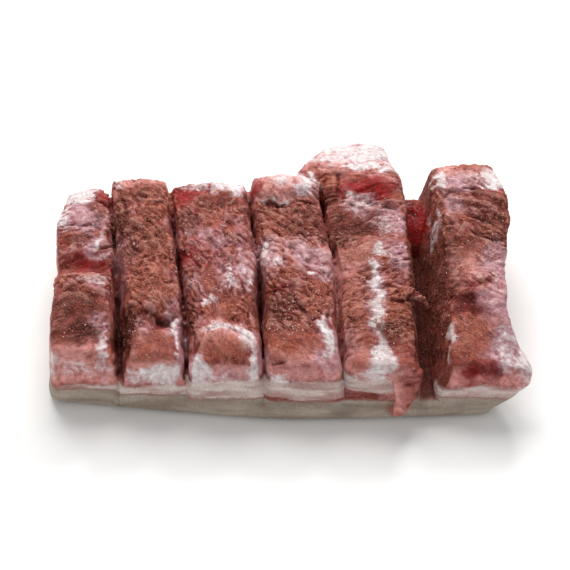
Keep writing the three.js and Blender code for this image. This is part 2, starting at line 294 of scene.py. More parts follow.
PATCHES: Mapping[Layer, tuple[Patch, ...]] = {
    Layer.FAT: (
        # First strip
        Patch(-98, 46, 8, 8),
        Patch(-103, 30, 4, 12, 0.6),
        Patch(-84, 9, 2.6, 7, 0.75),
        Patch(-86, -18, 7, 4.5, 0.65),
        Patch(-83, -47, 4, 6, 0.5),
        Patch(-80, -58, 3.4, 9, 0.7, z=32),
        Patch(-80, -68, 4, 6, 0.6, z=26),
        Patch(-105, -62, 4, 6, 0.8, z=27, high=7),
        Patch(-92, -64, 16, 6, 0.4, z=27, high=7),
        # Second strip
        Patch(-78, 54, 4, 4, 0.6),
        Patch(-43.5, -52, 2.6, 17, 0.85, turn=-3),
        Patch(-52, -68, 14, 7, z=25, high=6.5),
        Patch(-63, -68, 8, 5, 0.7, z=26, high=4),
        # Third strip
        Patch(-21, 50, 8, 5.5),
        Patch(-36, 53, 9, 3, 0.6),
        Patch(-20, -14, 3.5, 9, 0.5),
        Patch(-29, -31, 3, 4.5, 0.7),
        Patch(-10, -16, 3, 12, 0.45),
        Patch(-22, -47.5, 12, 3.5, 0.65),
        Patch(-10.5, -54, 4.5, 6, 0.9),
        Patch(-34, -69, 7, 7, z=28, high=10),
        Patch(-6, -64, 4, 9, 0.9, z=31, high=10),
        Patch(-20, -72, 16, 5, 0.45, z=24, high=8),
        # Fourth strip
        Patch(18, 50, 7, 7, 0.75),
        Patch(7, 51, 12, 5, 0.35),
        Patch(8, 55, 12, 4, 0.65),
        Patch(4, 58, 16, 3, 0.8),
        Patch(0, 41.5, 8, 1.0, 0.6),
        Patch(-3, 2, 3.5, 7, 0.7),
        Patch(4, -6, 4, 3, 0.55),
        Patch(22, -14, 4, 2, 0.5),
        Patch(28, -53, 4, 11, 0.85, turn=8),
        Patch(2, -72, 9, 6, 0.8, z=25, high=5.5),
        Patch(33, -53, 2, 7, 0.55),
        # Fifth strip
        Patch(44, 80, 30, 16, 0.85, high=30),
        Patch(47, 63, 16, 3, 0.85),
        Patch(45, 39, 11, 5, 0.42, turn=-15),
        Patch(56, 25, 6, 6, 0.55),
        Patch(54, 1, 3.4, 3.6, 0.95),
        Patch(52, -14, 2.8, 10, 0.75),
        Patch(52, -33, 3.4, 16, 0.9),
        Patch(54, -53, 3, 7, 0.85),
        Patch(54, -64, 6, 8, 0.95, z=35),
        Patch(45, -72, 9, 4, 0.7, z=29, high=5),
        # Sixth strip
        Patch(86, 50, 3.5, 9, 0.8),
        Patch(112, 52, 8, 9, 0.95),
        Patch(99, 54, 9, 5, 0.35),
        Patch(84, 26, 3, 12, 0.8, z=30),
        Patch(87, -51, 1.8, 10, 0.75, z=34),
        Patch(116, -56, 9, 13, 0.6, z=35),
        Patch(122, -62, 5, 10, 0.7, z=33),
        Patch(98, -73, 9, 4, 0.6, z=17, high=3.5),
    ),
    # Wet membranes, whose lilac colour also paints the sheen of the wet meat
    Layer.SHEEN_MEMBRANE: (
        # First strip
        Patch(-95, 28, 12, 12),
        Patch(-88, 8, 8, 7, 0.9),
        Patch(-99, 4, 7, 3, 0.4),
        Patch(-83, -46, 5, 8, 0.8),
        Patch(-92, -66, 15, 5, 0.6, z=26, high=7),
        # Second strip
        Patch(-74, 4, 5, 10, 0.6),
        Patch(-67, 14, 6, 8, 0.4),
        Patch(-72, -20, 3, 14, 0.5),
        Patch(-46, -38, 3.5, 14, 0.6),
        Patch(-60, -46, 6, 5, 0.5),
        Patch(-68, -44, 4, 8, 0.5),
        # Third strip
        Patch(-28, 10, 12, 9, 0.5, turn=-35),
        Patch(-13, -6, 5, 16, 0.65),
        Patch(-22, -14, 7, 12, 0.5),
        Patch(-42, 20, 6, 10, 0.5),
        Patch(-36, -24, 5, 14, 0.5),
        Patch(-20, -72, 11, 6, 1.0, z=28, high=9),
        # Fourth strip
        Patch(-2, 2, 6, 14, 0.8),
        Patch(18, -1, 12, 6, 1.0, turn=-38),
        Patch(28, -10, 4, 10, 0.7),
        Patch(29, -58, 6, 11, 1.0, z=34),
        Patch(14, -70, 18, 7, 0.35, z=29, high=9),
        # Fifth strip
        Patch(60, 27, 9, 11, 1.0),
        Patch(46, 38, 9, 6, 0.8),
        Patch(64, 0, 6, 14, 0.8),
        Patch(52, -30, 7, 26, 0.6),
        Patch(37, -52, 5, 9, 0.5),
        # Sixth strip
        Patch(94, 48, 11, 9, 0.85),
        Patch(93, 32, 6, 7, 0.9),
        Patch(110, -8, 9, 16, 0.9),
        Patch(111, -32, 9, 14, 0.95),
        Patch(113, -55, 11, 16, 1.0),
        Patch(88, -10, 4, 14, 0.4),
    ),
    Layer.PINK: (
        # First strip
        Patch(-94, -62, 13, 8, 0.9),
        Patch(-92, -66, 15, 5, 0.9, z=22, high=6),
        # Second strip
        Patch(-57, -56, 12, 12, 0.45),
        Patch(-62, 54, 16, 4, 0.7),
        # Third strip
        Patch(-38, 48, 8, 4, 0.5),
        Patch(-22, -51, 15, 9, 0.7),
        # Fourth strip
        Patch(4, 51, 16, 7, 1.0),
        Patch(8, 4, 8, 7, 0.8),
        Patch(16, -68, 16, 8, 0.65, z=34, high=10),
        Patch(29, -66, 6, 6, 0.7),
        # Fifth strip
        Patch(56, 56, 8, 5, 1.0),
        Patch(38, 70, 28, 14, 0.8, high=26),
        Patch(40, -3, 14, 11, 0.7),
        Patch(40, -30, 9, 20, 0.5),
        Patch(41, -63, 9, 8, 0.8),
        Patch(61.5, -73, 7, 9, 0.9, z=20, high=14),
        # Sixth strip
        Patch(96, -8, 12, 14, 0.7),
        Patch(112, -30, 8, 14, 0.9),
        Patch(98, -50, 12, 12, 0.5),
        Patch(117, -77, 11, 6, 0.9, z=24, high=10),
        Patch(96, 58, 16, 6, 0.8),
        Patch(90, 20, 7, 14, 0.4),
    ),
    Layer.RED: (
        # First strip
        Patch(-86, 45, 5, 6, 0.8),
        Patch(-90, -3, 15, 7, 0.75),
        Patch(-99, 12, 8, 4, 0.6),
        # Second strip
        Patch(-66, -44, 4, 5, 0.5),
        Patch(-66, 10, 6, 13, 0.4),
        Patch(-54, -57, 5, 7, 0.4),
        Patch(-51, -44, 5, 4, 0.6),
        # Third strip
        Patch(-44, 44, 8, 9),
        Patch(-40, 34, 6, 6, 0.6),
        Patch(-41, 2, 5, 10, 0.6),
        Patch(-26, -2, 12, 14, 0.35),
        Patch(-37, -34, 4, 10, 0.5),
        # Fourth strip
        Patch(-8, 50, 4, 6, 0.6),
        Patch(4, -25, 7, 3, 0.8),
        Patch(16, -71, 9, 6, 0.3, z=31, high=8),
        # Fifth strip
        Patch(29, 52, 6, 10, 0.7),
        Patch(50, 50, 15, 7.5),
        Patch(66, -73, 4, 8, 0.35, z=22, high=14),
        # Sixth strip
        Patch(75, 40, 8, 14, z=20, high=20),
        Patch(108, 38, 14, 5, 0.6, turn=-18),
        Patch(96, -31, 9, 8, 0.8),
        Patch(102, -71, 14, 7, z=31, high=8),
        Patch(115, -77, 13, 5, 0.45, z=25, high=8),
        Patch(96, 14, 10, 10, 0.3),
    ),
    Layer.TAN: (
        # First strip
        Patch(-94, -17, 14, 7.5, 0.6),
        # Second strip
        Patch(-58, -59, 10, 6, 0.8, z=36, high=8),
        Patch(-58, 35, 10, 6, 0.9),
        Patch(-57, 12, 6, 18, 0.8, turn=28),
        Patch(-59, -24, 14, 11),
        Patch(-58, -8, 10, 9, 0.8),
        Patch(-62, 48, 14, 6, 0.6),
        # Third strip
        Patch(-18, -34, 12, 9, 0.8),
        Patch(-21, -60, 12, 8, 0.75),
        Patch(-28, 30, 16, 6, 0.5),
        # Fourth strip
        Patch(22, -32, 8, 12, 0.8),
        Patch(8, -57, 15, 8, 0.9),
        Patch(6, 16, 10, 8, 0.7),
        # Fifth strip
        Patch(30, 55, 6, 8, 0.8),
        Patch(41, -1, 13, 7, 0.7),
        Patch(41, -34, 10, 24, 0.7),
        Patch(41, -64, 9, 6, 0.7),
        Patch(62, -40, 9, 18, 0.9),
        Patch(65, -27, 9, 4),
        # Sixth strip
        Patch(86, 36, 6, 8, 0.6),
        Patch(102, 60, 12, 5, 0.7),
        Patch(96, -6, 11, 10, 0.5),
        Patch(98, -50, 11, 14, 0.9),
        Patch(98, -66, 10, 5, 0.7, z=36, high=7),
    ),
    Layer.BROWN: (
        # First strip
        Patch(-96, 12, 9, 4, 0.6),
        Patch(-100, -2, 6, 6, 0.55),
        Patch(-95, -32, 14, 7, 0.9),
        Patch(-100, -46, 8, 10, 0.8),
        Patch(-90, -48, 9, 8, 0.8),
        Patch(-87, 36, 4, 8, 0.7),
        # Second strip
        Patch(-75, 28, 6, 16, 0.9),
        Patch(-67, 2, 8, 12, 0.75),
        Patch(-57, 10, 7, 12, 0.85),
        Patch(-60, -26, 13, 11, 0.35),
        Patch(-64, 44, 14, 7, 0.8),
        Patch(-62, 18, 10, 10, 0.8),
        Patch(-68, -46, 5, 12, 0.9),
        Patch(-58, -56, 10, 6, 0.55),
        # Third strip
        Patch(-27, 38, 16, 6, 0.8),
        Patch(-42, 24, 6, 8, 0.7),
        Patch(-38, -38, 4, 12, 0.8),
        Patch(-23, -64, 10, 4, 0.5, z=37),
        # Fourth strip
        Patch(0, 34, 12, 6, 0.8),
        Patch(16, 26, 11, 14, 0.9),
        Patch(6, -36, 14, 10, 0.9),
        Patch(20, -30, 7, 8, 0.5),
        # Fifth strip
        Patch(29, 42, 6, 6, 0.8),
        Patch(41, 21, 17, 12),
        Patch(38, 11, 15, 5),
        Patch(46, -12, 6, 6, 0.6),
        Patch(37, -18, 4, 4, 0.6),
        Patch(41, -44, 5, 6, 0.6),
        Patch(60, -50, 8, 9, 0.7),
        Patch(64, -44, 4, 4, 0.6),
        Patch(60, 37, 6, 5, 0.4),
        # Sixth strip
        Patch(108, 2, 8, 8, 0.3),
        Patch(103, 2, 10, 12, 0.5),
        Patch(110, 16, 12, 14, 0.9),
        Patch(93, 8, 9, 18, 0.8),
        Patch(92, -22, 6, 10, 0.5),
        Patch(88, -18, 6, 32, 0.6),
        Patch(108, 33, 14, 7, 0.8),
        Patch(90, -62, 6, 12, 0.6, z=32),
    ),
    # Painted shade: hollows, cracks and the dark under lips, in a dark wet red
    Layer.PAINTED_SHADE: (
        # First strip
        Patch(-84, -5, 6, 3, 0.5),
        Patch(-89, -47, 8, 8, 0.75),
        Patch(-87, 28, 3, 8, 0.5),
        # Second strip
        Patch(-75, 16, 5, 10, 0.8),
        Patch(-68, 6, 5, 6, 0.6),
        Patch(-68, -48, 5, 12, 0.7, z=34),
        Patch(-51, -44, 5, 3.5, 0.6),
        # Third strip
        Patch(-43, 6, 3, 8, 0.6),
        Patch(-38, -40, 3, 12, 0.6),
        Patch(-16, 36, 6, 4, 0.5),
        # Fourth strip
        Patch(6, 40, 9, 1.4, 0.8),
        Patch(18, 22, 8, 9, 0.4),
        Patch(4, -26, 6, 2.4, 0.7),
        Patch(10, -34, 8, 7, 0.45),
        Patch(0, -14, 5, 5, 0.4),
        # Fifth strip
        Patch(50, 46, 5, 3, 0.4),
        Patch(60, 38, 4, 2, 0.4),
        Patch(40, 11, 15, 3.5, 0.8),
        Patch(41, -42, 4, 3, 0.6),
        Patch(57, -49, 5, 3.5, 0.7),
        Patch(66, -31, 6, 2, 0.7),
        # Sixth strip
        Patch(96, -31, 8, 7, 0.75),
        Patch(104, 38, 8, 2.5, 0.8),
        Patch(93, 24, 3, 9, 0.4),
        Patch(106, 18, 10, 3, 0.6),
        Patch(114, 26, 5, 8, 0.5),
        Patch(101, -71, 13, 6, 0.6, z=31, high=8),
        Patch(88, 4, 4, 14, 0.4, z=34),
    ),
}

# Where salt grains lie together.
SALT = (
    # First strip
    Patch(-90, 22, 9, 12, 0.5),
    Patch(-87, -19, 5, 4),
    # Second strip
    Patch(-68, -46, 5, 10, 0.9),
    Patch(-54, -25, 5, 4, 0.8),
    Patch(-64, 12, 9, 24, 0.2),
    # Third strip
    Patch(-29, -31, 4, 5),
    Patch(-36, 22, 8, 10, 0.4),
    Patch(-24, 0, 14, 28, 0.35),
    # Fourth strip
    Patch(-2, 2, 6, 9, 0.5),
    Patch(20, 12, 6, 5, 0.8),
    Patch(21, -14, 5, 2.5),
    Patch(9, -47, 8, 3.5),
    Patch(12, -38, 12, 8, 0.5),
    Patch(9, -18, 14, 30, 0.25),
    # Fifth strip
    Patch(60, -50, 6, 10, 0.4),
    Patch(60, 8, 8, 24, 0.2),
    # Sixth strip
    Patch(76, 10, 5, 30, 0.6, z=22),
    Patch(108, 8, 10, 12, 0.3),
)

# Where the meat is taut, and has no fine crinkles.
TAUT = (
    # First strip
    Patch(-89, -4, 13, 4),
    Patch(-92, -62, 15, 8),
    Patch(-96, -38, 14, 11, 0.8),
    Patch(-87, -45, 7, 6, 0.7),
    # Second strip
    Patch(-57, -56, 12, 11),
    # Third strip
    Patch(-43, 44, 8, 8, 0.8),
    Patch(-22, -57, 14, 9),
    # Fourth strip
    Patch(6, 50, 17, 7, 0.8),
    Patch(14, -68, 18, 7),
    Patch(30, -58, 5, 12),
    # Fifth strip
    Patch(50, 50, 15, 8, 0.8),
    Patch(42, -3, 15, 9, 0.7),
    Patch(42, 36, 11, 5, 0.7),
    # Sixth strip
    Patch(98, -5, 12, 14, 0.9),
    Patch(99, -35, 9, 10, 0.9),
    Patch(100, -52, 14, 14),
    Patch(115, -56, 9, 15),
    Patch(110, -10, 8, 14, 0.5),
    Patch(104, -72, 20, 8),
)

# Rises and dips of the meat, whose strength is a height in millimetres.
BULGES = (
    # First strip
    Patch(-86, 45, 7, 6, 1.2),
    Patch(-98, 31, 9, 9, 1.0),
    Patch(-92, 8, 12, 8, 1.0),
    Patch(-93, -22, 15, 10, 1.6),
    Patch(-89, -43, 9, 8, -1.3),
    Patch(-101, -50, 6, 11, 0.9),
    Patch(-92, -66, 12, 7, 1.0),
    # Second strip
    Patch(-64, 44, 13, 9, 1.5),
    Patch(-74, 18, 5, 9, -1.5),
    Patch(-60, 6, 5, 16, 1.3, turn=-28),
    Patch(-60, -20, 14, 9, 0.9),
    Patch(-58, -33, 11, 5, 1.6),
    Patch(-51, -43, 5, 3.5, -1.0),
    Patch(-60, -60, 11, 9, 1.2),
    # Third strip
    Patch(-43, 37, 7, 8, 1.0),
    Patch(-22, 48, 9, 5, 1.2),
    Patch(-31, 12, 9, 12, -1.0),
    Patch(-16, -10, 8, 12, 0.9),
    Patch(-30, -28, 8, 8, -0.9),
    Patch(-21, -56, 12, 8, 2.2),
    Patch(-37, -57, 4, 9, -1.2),
    # Fourth strip
    Patch(8, 49, 16, 6.5, 2.2),
    Patch(8, 37, 14, 2.5, -1.4),
    Patch(10, 24, 14, 8, 0.8),
    Patch(16, 0, 9, 5, -1.2, turn=-40),
    Patch(-1, -4, 7, 8, 0.9),
    Patch(13, -34, 14, 9, 1.1),
    Patch(10, -58, 13, 8, 1.0),
    Patch(30, -58, 4, 9, -0.9),
    # Fifth strip
    Patch(30, 52, 6, 9, 1.2),
    Patch(51, 49, 13, 7, 1.6),
    Patch(45, 83, 14, 8, 3.0, z=32),
    Patch(42, 34, 11, 5, 0.9),
    Patch(42, 20, 15, 8, -1.3),
    Patch(60, 37, 4, 4, -0.8),
    Patch(61, 26, 6, 6, 0.9),
    Patch(47, 0, 18, 8, 1.4),
    Patch(63, -46, 8, 14, 1.0),
    Patch(40, -38, 8, 16, 0.9),
    Patch(53, -66, 9, 7, 1.3),
    # Sixth strip
    Patch(90, 50, 9, 7, 1.2),
    Patch(107, 51, 10, 6, 1.4),
    Patch(95, 30, 7, 5, -1.7),
    Patch(109, 36, 10, 5, 1.2),
    Patch(100, 20, 14, 4, -1.1),
    Patch(93, 0, 8, 18, 1.0),
    Patch(96, -34, 5, 8, -1.8),
    Patch(110, -20, 8, 12, 0.9),
    Patch(97, -52, 10, 10, 0.9),
    Patch(112, -56, 5, 12, -0.9, turn=15),
    Patch(102, -73, 9, 5, -0.8),
)

# The torn flap that hangs over the front of the rind.
FLAP = Patch(61, -79, 9, 7, z=20, high=18)
# The side of the second strip where the first cut gapes, which holds much rub and painted shade.
FLANK = Patch(-70, -46, 6, 19, z=30, high=15)

STROKES = (
    # The step and the crease across the first strip
    Stroke(((-108, -11), (-98, -10), (-88, -9), (-78, -8)), -1.6, 1.2, 3.0),
    Stroke(((-108, -13), (-98, -12.5), (-88, -13), (-80, -14)), 0.9, 2.4, 1.2),
    Stroke(((-91, 47), (-87, 40), (-81, 38)), -1.2, 0.9, 1.2),
    Stroke(((-104, 22), (-96, 20), (-88, 21), (-82, 17)), -0.9, 0.8, 2.0),
    Stroke(((-104, -27), (-96, -25), (-88, -27), (-82, -30)), -1.0, 1.2, 2.5),
    # Ridges, the lip and the pit along the second strip
    Stroke(((-71, 27), (-66, 20), (-60, 12), (-55, 4), (-51, -3)), 1.4, 1.2, 1.6),
    Stroke(((-66, 29), (-61, 23), (-56, 15), (-52, 8)), -0.8, 0.8, 1.0),
    Stroke(((-67, 39), (-60, 37), (-54, 38), (-48, 35)), 0.9, 0.7, 1.0),
    Stroke(((-66, 33), (-59, 33), (-53, 31)), 0.8, 0.6, 0.9),
    Stroke(((-63, -35), (-57, -38), (-51, -40), (-46, -39)), 1.3, 0.8, 4.0),
    Stroke(((-55, -42), (-51, -43), (-47, -42.5)), -1.2, 1.6, 1.0),
    # The folded lump at the front of the third strip
    Stroke(
        ((-38, -66), (-34, -56), (-29, -49.5), (-22, -47), (-15, -48.5), (-10, -52), (-6, -58)),
        height=-1.3,
        width=2.0,
        shelf=1.3,
    ),
    Stroke(((-36, -64), (-31, -53), (-24, -49), (-16, -50)), 0.9, 1.8, 2.6),
    Stroke(((-33, 18), (-27, 9), (-22, 0), (-17, -6)), 1.0, 0.9, 1.6),
    Stroke(((-26, 22), (-20, 13), (-15, 5)), 0.9, 0.8, 1.4),
    Stroke(((-44, 4), (-38, -4), (-33, -10)), -0.9, 0.9, 1.4),
    # The crack and the torn edge across the fourth strip
    Stroke(((-9, 40), (-2, 40.5), (5, 39), (13, 40.5), (20, 39), (27, 38)), -2.0, 0.9, 0.9),
    Stroke(((2, 39), (4, 34), (3, 30)), -0.8, 0.7, 0.8),
    Stroke(((26, 12), (16, 11), (9, 12), (2, 10)), 1.1, 0.8, 5.0),
    Stroke(((-7, -28), (0, -26), (8, -22), (14, -22)), -1.2, 1.0, 1.6),
    Stroke(((-6, -62), (2, -66), (10, -65)), -0.9, 0.8, 1.2),
    # The step and the curled fold across the fifth strip
    Stroke(((66, 8), (58, 9), (50, 9), (42, 9.5), (34, 10), (28, 8)), 1.6, 0.9, 6.0),
    Stroke(((54, 35), (57, 40), (62, 41), (66, 37)), 0.9, 0.9, 1.3),
    Stroke(((34, 42), (41, 40), (48, 37), (52, 33)), 0.9, 0.9, 2.0),
    Stroke(((34, 60), (35, 52), (34, 45)), -1.5, 1.0, 1.2),
    Stroke(((72, -28), (64, -31), (57, -30)), -1.5, 1.3, 2.0),
    # Loose membranes and hollows on the sixth strip
    Stroke(((84, 41), (92, 43), (99, 41), (106, 38), (113, 35), (119, 29)), 1.5, 0.8, 4.0),
    Stroke(((88, 37), (95, 34), (103, 32), (111, 27), (118, 21)), 1.3, 0.8, 3.0),
    Stroke(((96, 42), (101, 42.5), (105, 41)), -1.8, 1.0, 0.9),
    Stroke(((97, 14), (103, 9), (110, 7), (119, 6)), -1.6, 1.0, 2.4),
    Stroke(((95, 27), (101, 22), (108, 20), (115, 14)), -1.4, 0.9, 1.6),
    Stroke(((86, 26), (91, 21), (95, 13), (93, 5)), 1.1, 0.9, 2.2),
    Stroke(((89, -24), (95, -27), (101, -28), (107, -26)), 1.2, 1.3, 4.0),
    Stroke(((104, -44), (108, -50), (111, -58), (112, -67)), 0.8, 1.2, 2.4),
)


# ---------------------------------------------------------------------------------------------------------
# The relief and the dressing of the slab
# ---------------------------------------------------------------------------------------------------------


@dataclass(frozen=True)
class Tears:
    """Short torn edges, drawn at random over the tops of all strips. Sizes are in millimetres."""

    count: int = 150
    along: Span = (-106, 120)
    across: Span = (-62, 60)
    length: Span = (4.0, 13.0)
    height: Span = (0.5, 1.3)
    shelf: Span = (1.5, 3.5)
    width: float = 0.8
    swerve_degrees: float = 28
    bend: float = 0.5
    runs: int = 3

    def strokes(self, draw: np.random.Generator) -> list[Stroke]:
        """Draws the torn edges, roughly along the fibres of their strips.

        Args:
            draw: Source of random numbers.

        Returns:
            The strokes.
        """
        tears = []
        for _ in range(self.count):
            start = np.array([draw.uniform(*self.along), draw.uniform(*self.across)])
            grain = GRAIN_DEGREES[int(strip_of(start[None])[0])]
            angle = math.radians(grain + draw.normal(0, self.swerve_degrees))
            bend = draw.normal(0, self.bend)
            length = draw.uniform(*self.length)
            path = [tuple(start)]
            for run in range(self.runs):
                turned = angle + bend * run
                start = start + length / self.runs * np.array([math.cos(turned), math.sin(turned)])
                path.append(tuple(start))
            height, shelf = draw.uniform(*self.height), draw.uniform(*self.shelf)
            tears.append(Stroke(tuple(path), height, self.width, shelf))
        return tears


class Source(Enum):
    """The separate draws of random unevenness, by what is added to the seed."""

    LUMPS = 0
    BUMPS = 1
    FOLDS = 2
    FIBRES = 3
    CRUMBS = 4
    EDGES = 5
    MOTTLE = 6
    WARP = 7
    CRINKLES = 8


@dataclass(frozen=True)
class Texture:
    """One kind of unevenness, by the width and the height of its lumps in millimetres.

    A width that has three values goes along the fibres, across them and upwards. shift moves the whole
    pattern, so that two textures of one source don't fall together.
    """

    source: Source
    width: float | tuple[float, float, float]
    height: float = 1.0
    shift: float = 0.0


@dataclass(frozen=True)
class Textures:
    """All kinds of unevenness that the slab has."""

    # Form of the meat and of the rind
    lumps: Texture = Texture(Source.LUMPS, 19.0, 0.9)
    bumps: Texture = Texture(Source.BUMPS, 8.5, 0.6)
    knobs: Texture = Texture(Source.BUMPS, 3.6, 0.3, 40)
    rind: Texture = Texture(Source.LUMPS, 14.0, 0.22)
    folds: Texture = Texture(Source.FOLDS, (17.0, 4.5, 9.0))
    cracks: Texture = Texture(Source.EDGES, (9.0, 2.6, 6.0), shift=31)
    ridges: Texture = Texture(Source.CRINKLES, (7.0, 2.8, 3.8), shift=17)
    furrows: Texture = Texture(Source.CRINKLES, (4.6, 2.1, 2.8), shift=71)
    nicks: Texture = Texture(Source.CRINKLES, (2.4, 1.5, 1.8), shift=43)
    # Where that form is strong and where it is weak
    creased: Texture = Texture(Source.WARP, 17.0, shift=70)
    crinkled: Texture = Texture(Source.LUMPS, 11.0, shift=90)
    # How fibres wander and how the edges of patches are torn
    wander: Texture = Texture(Source.WARP, 9.0, 2.4)
    torn: Texture = Texture(Source.WARP, 8.0, 4.0, 200)
    frayed: Texture = Texture(Source.EDGES, 2.8, 1.6, 300)
    # Colour
    fibres: Texture = Texture(Source.FIBRES, (9.0, 1.5, 4.0))
    ragged: Texture = Texture(Source.EDGES, 6.0, 0.15)
    grainy: Texture = Texture(Source.MOTTLE, 2.4, 0.10)
    # Where the lilac membrane of painted sheen veils the lean
    sheen_veil: Texture = Texture(Source.CRINKLES, (12.0, 4.5, 6.0), shift=9)
    wavy_bands: Texture = Texture(Source.EDGES, (16.0, 16.0, 30.0), 2.2)
    wavy_rind: Texture = Texture(Source.EDGES, 9.0, 0.5)
    dusting: Texture = Texture(Source.MOTTLE, 8.0, 0.6)
    fine_dusting: Texture = Texture(Source.EDGES, 2.6, 0.3)
    heaps: Texture = Texture(Source.MOTTLE, 6.0)


@dataclass(frozen=True)
class Bands:
    """Heights, in millimetres, of the layers that show on the outer faces of the slab.

    lean and fat hold one height for each strip. Lean meat shows on its front from the rind up to lean, fat
    from there up to fat, and clean flesh above.
    """

    rind: float = 11.6
    lean: tuple[float, ...] = (12.0, 12.0, 12.0, 13.4, 19.5, 12.0)
    fat: tuple[float, ...] = (15.0, 17.5, 23.0, 23.5, 27.0, 19.5)


@dataclass(frozen=True)
class Zones:
    """Where the parts of the slab begin and where each is fully reached, in millimetres."""

    front: Span = (-58, -64)
    back: Span = (46, 54)
    left: Span = (-100, -104)
    right: Span = (102, 107)
    calm_front: Span = (-42, -58)
    # Heights
    foot: Span = (0.3, 4.0)
    meat: Span = (10, 16)
    top: Span = (20, 28)
    rubbed: Span = (24, 34)
    flesh: Span = (41, 31)
    # Depths of the cuts that painted shade fills
    depths: Span = (31, 22)
    # The wide cut, with its floor
    cut_left: Span = (66, 70)
    cut_right: Span = (97, 86)
    floor_front: Span = (-71, -67)
    floor_back: Span = (64, 60)
    floor: Span = (19, 15)
    # The mouths of the narrow cuts, by height and by distance from the middle of the cut
    notch: Span = (17, 21)
    mouth: Span = (4.5, 2.5)


@dataclass(frozen=True)
class Slopes:
    """How far a face must look up, from -1 to 1, where it begins to count and where it counts fully."""

    upright: Span = (0.8, 0.4)
    hanging: Span = (-0.2, -0.6)
    level: Span = (0.25, 0.75)
    floor: Span = (0.3, 0.6)
    rubbed: Span = (-0.1, 0.5)
    # How far it must look along the slab, either way
    wall: Span = (0.15, 0.6)
    notch: Span = (0.3, 0.7)


@dataclass(frozen=True)
class Heights:
    """How much the fine forms rise or sink, in millimetres."""

    creases: float = 1.1
    fibres: float = 0.45
    ridges: float = 1.1
    furrows: float = 1.9
    nicks: float = 1.0
    dust: float = 0.20
    tan: float = 0.25
    brown: float = 0.45
    crumb_gap: float = 2.8


@dataclass(frozen=True)
class Shares:
    """How strongly one thing shows over another, or holds it back, from 0 to 1."""

    # Thin membranes with painted sheen around fat and over lean meat, and clean flesh on the outer faces
    sheen_halo: float = 0.85
    sheen_veil: float = 0.28
    flesh: float = 0.85
    # How much red lean and pink flesh hide of what lies below them
    hidden: float = 0.7
    # Painted shade: the depths of the cuts, their floor, the gaping side and the lean above the rind
    deep_shade: float = 0.9
    floor_shade: float = 0.75
    flank_shade: float = 0.6
    seam_shade: float = 0.42
    # Rub on the walls of the cuts, strewn over all the meat, and held off by wet tissue
    wall_rub: float = 0.75
    strewn_rub: float = 0.47
    tan_rub: float = 0.9
    held_off: float = 0.85
    # How much smoother the meat is at the slab's front, and where it is taut
    calm: float = 0.6
    taut: float = 0.85
    taut_tears: float = 0.8


@dataclass
class Regions:
    """How far each place lies in each part of the slab, from 0 to 1."""

    outside: Array
    upright: Array
    front: Array
    wide_cut: Array
    floor: Array
    notch: Array
    flap: Array
    flank: Array


@dataclass
class Dressing:
    """What covers each place of the surface, and its fine markings, from 0 to 1 each.

    warped holds places along the fibres, across them and upwards, in millimetres.
    """

    cover: dict[Layer, Array]
    dust: Array
    band: Array
    fibre: Array
    warped: Array
    # How far each place lies in a hollow, by which the finish paints shade and highlights
    hollow: Array | None = None

    def columns(self, names: Sequence[Layer | str]) -> Array:
        """Picks four fields as the channels of a colour attribute."""
        chosen = [self.cover[name] if isinstance(name, Layer) else getattr(self, name) for name in names]
        return np.column_stack(chosen)


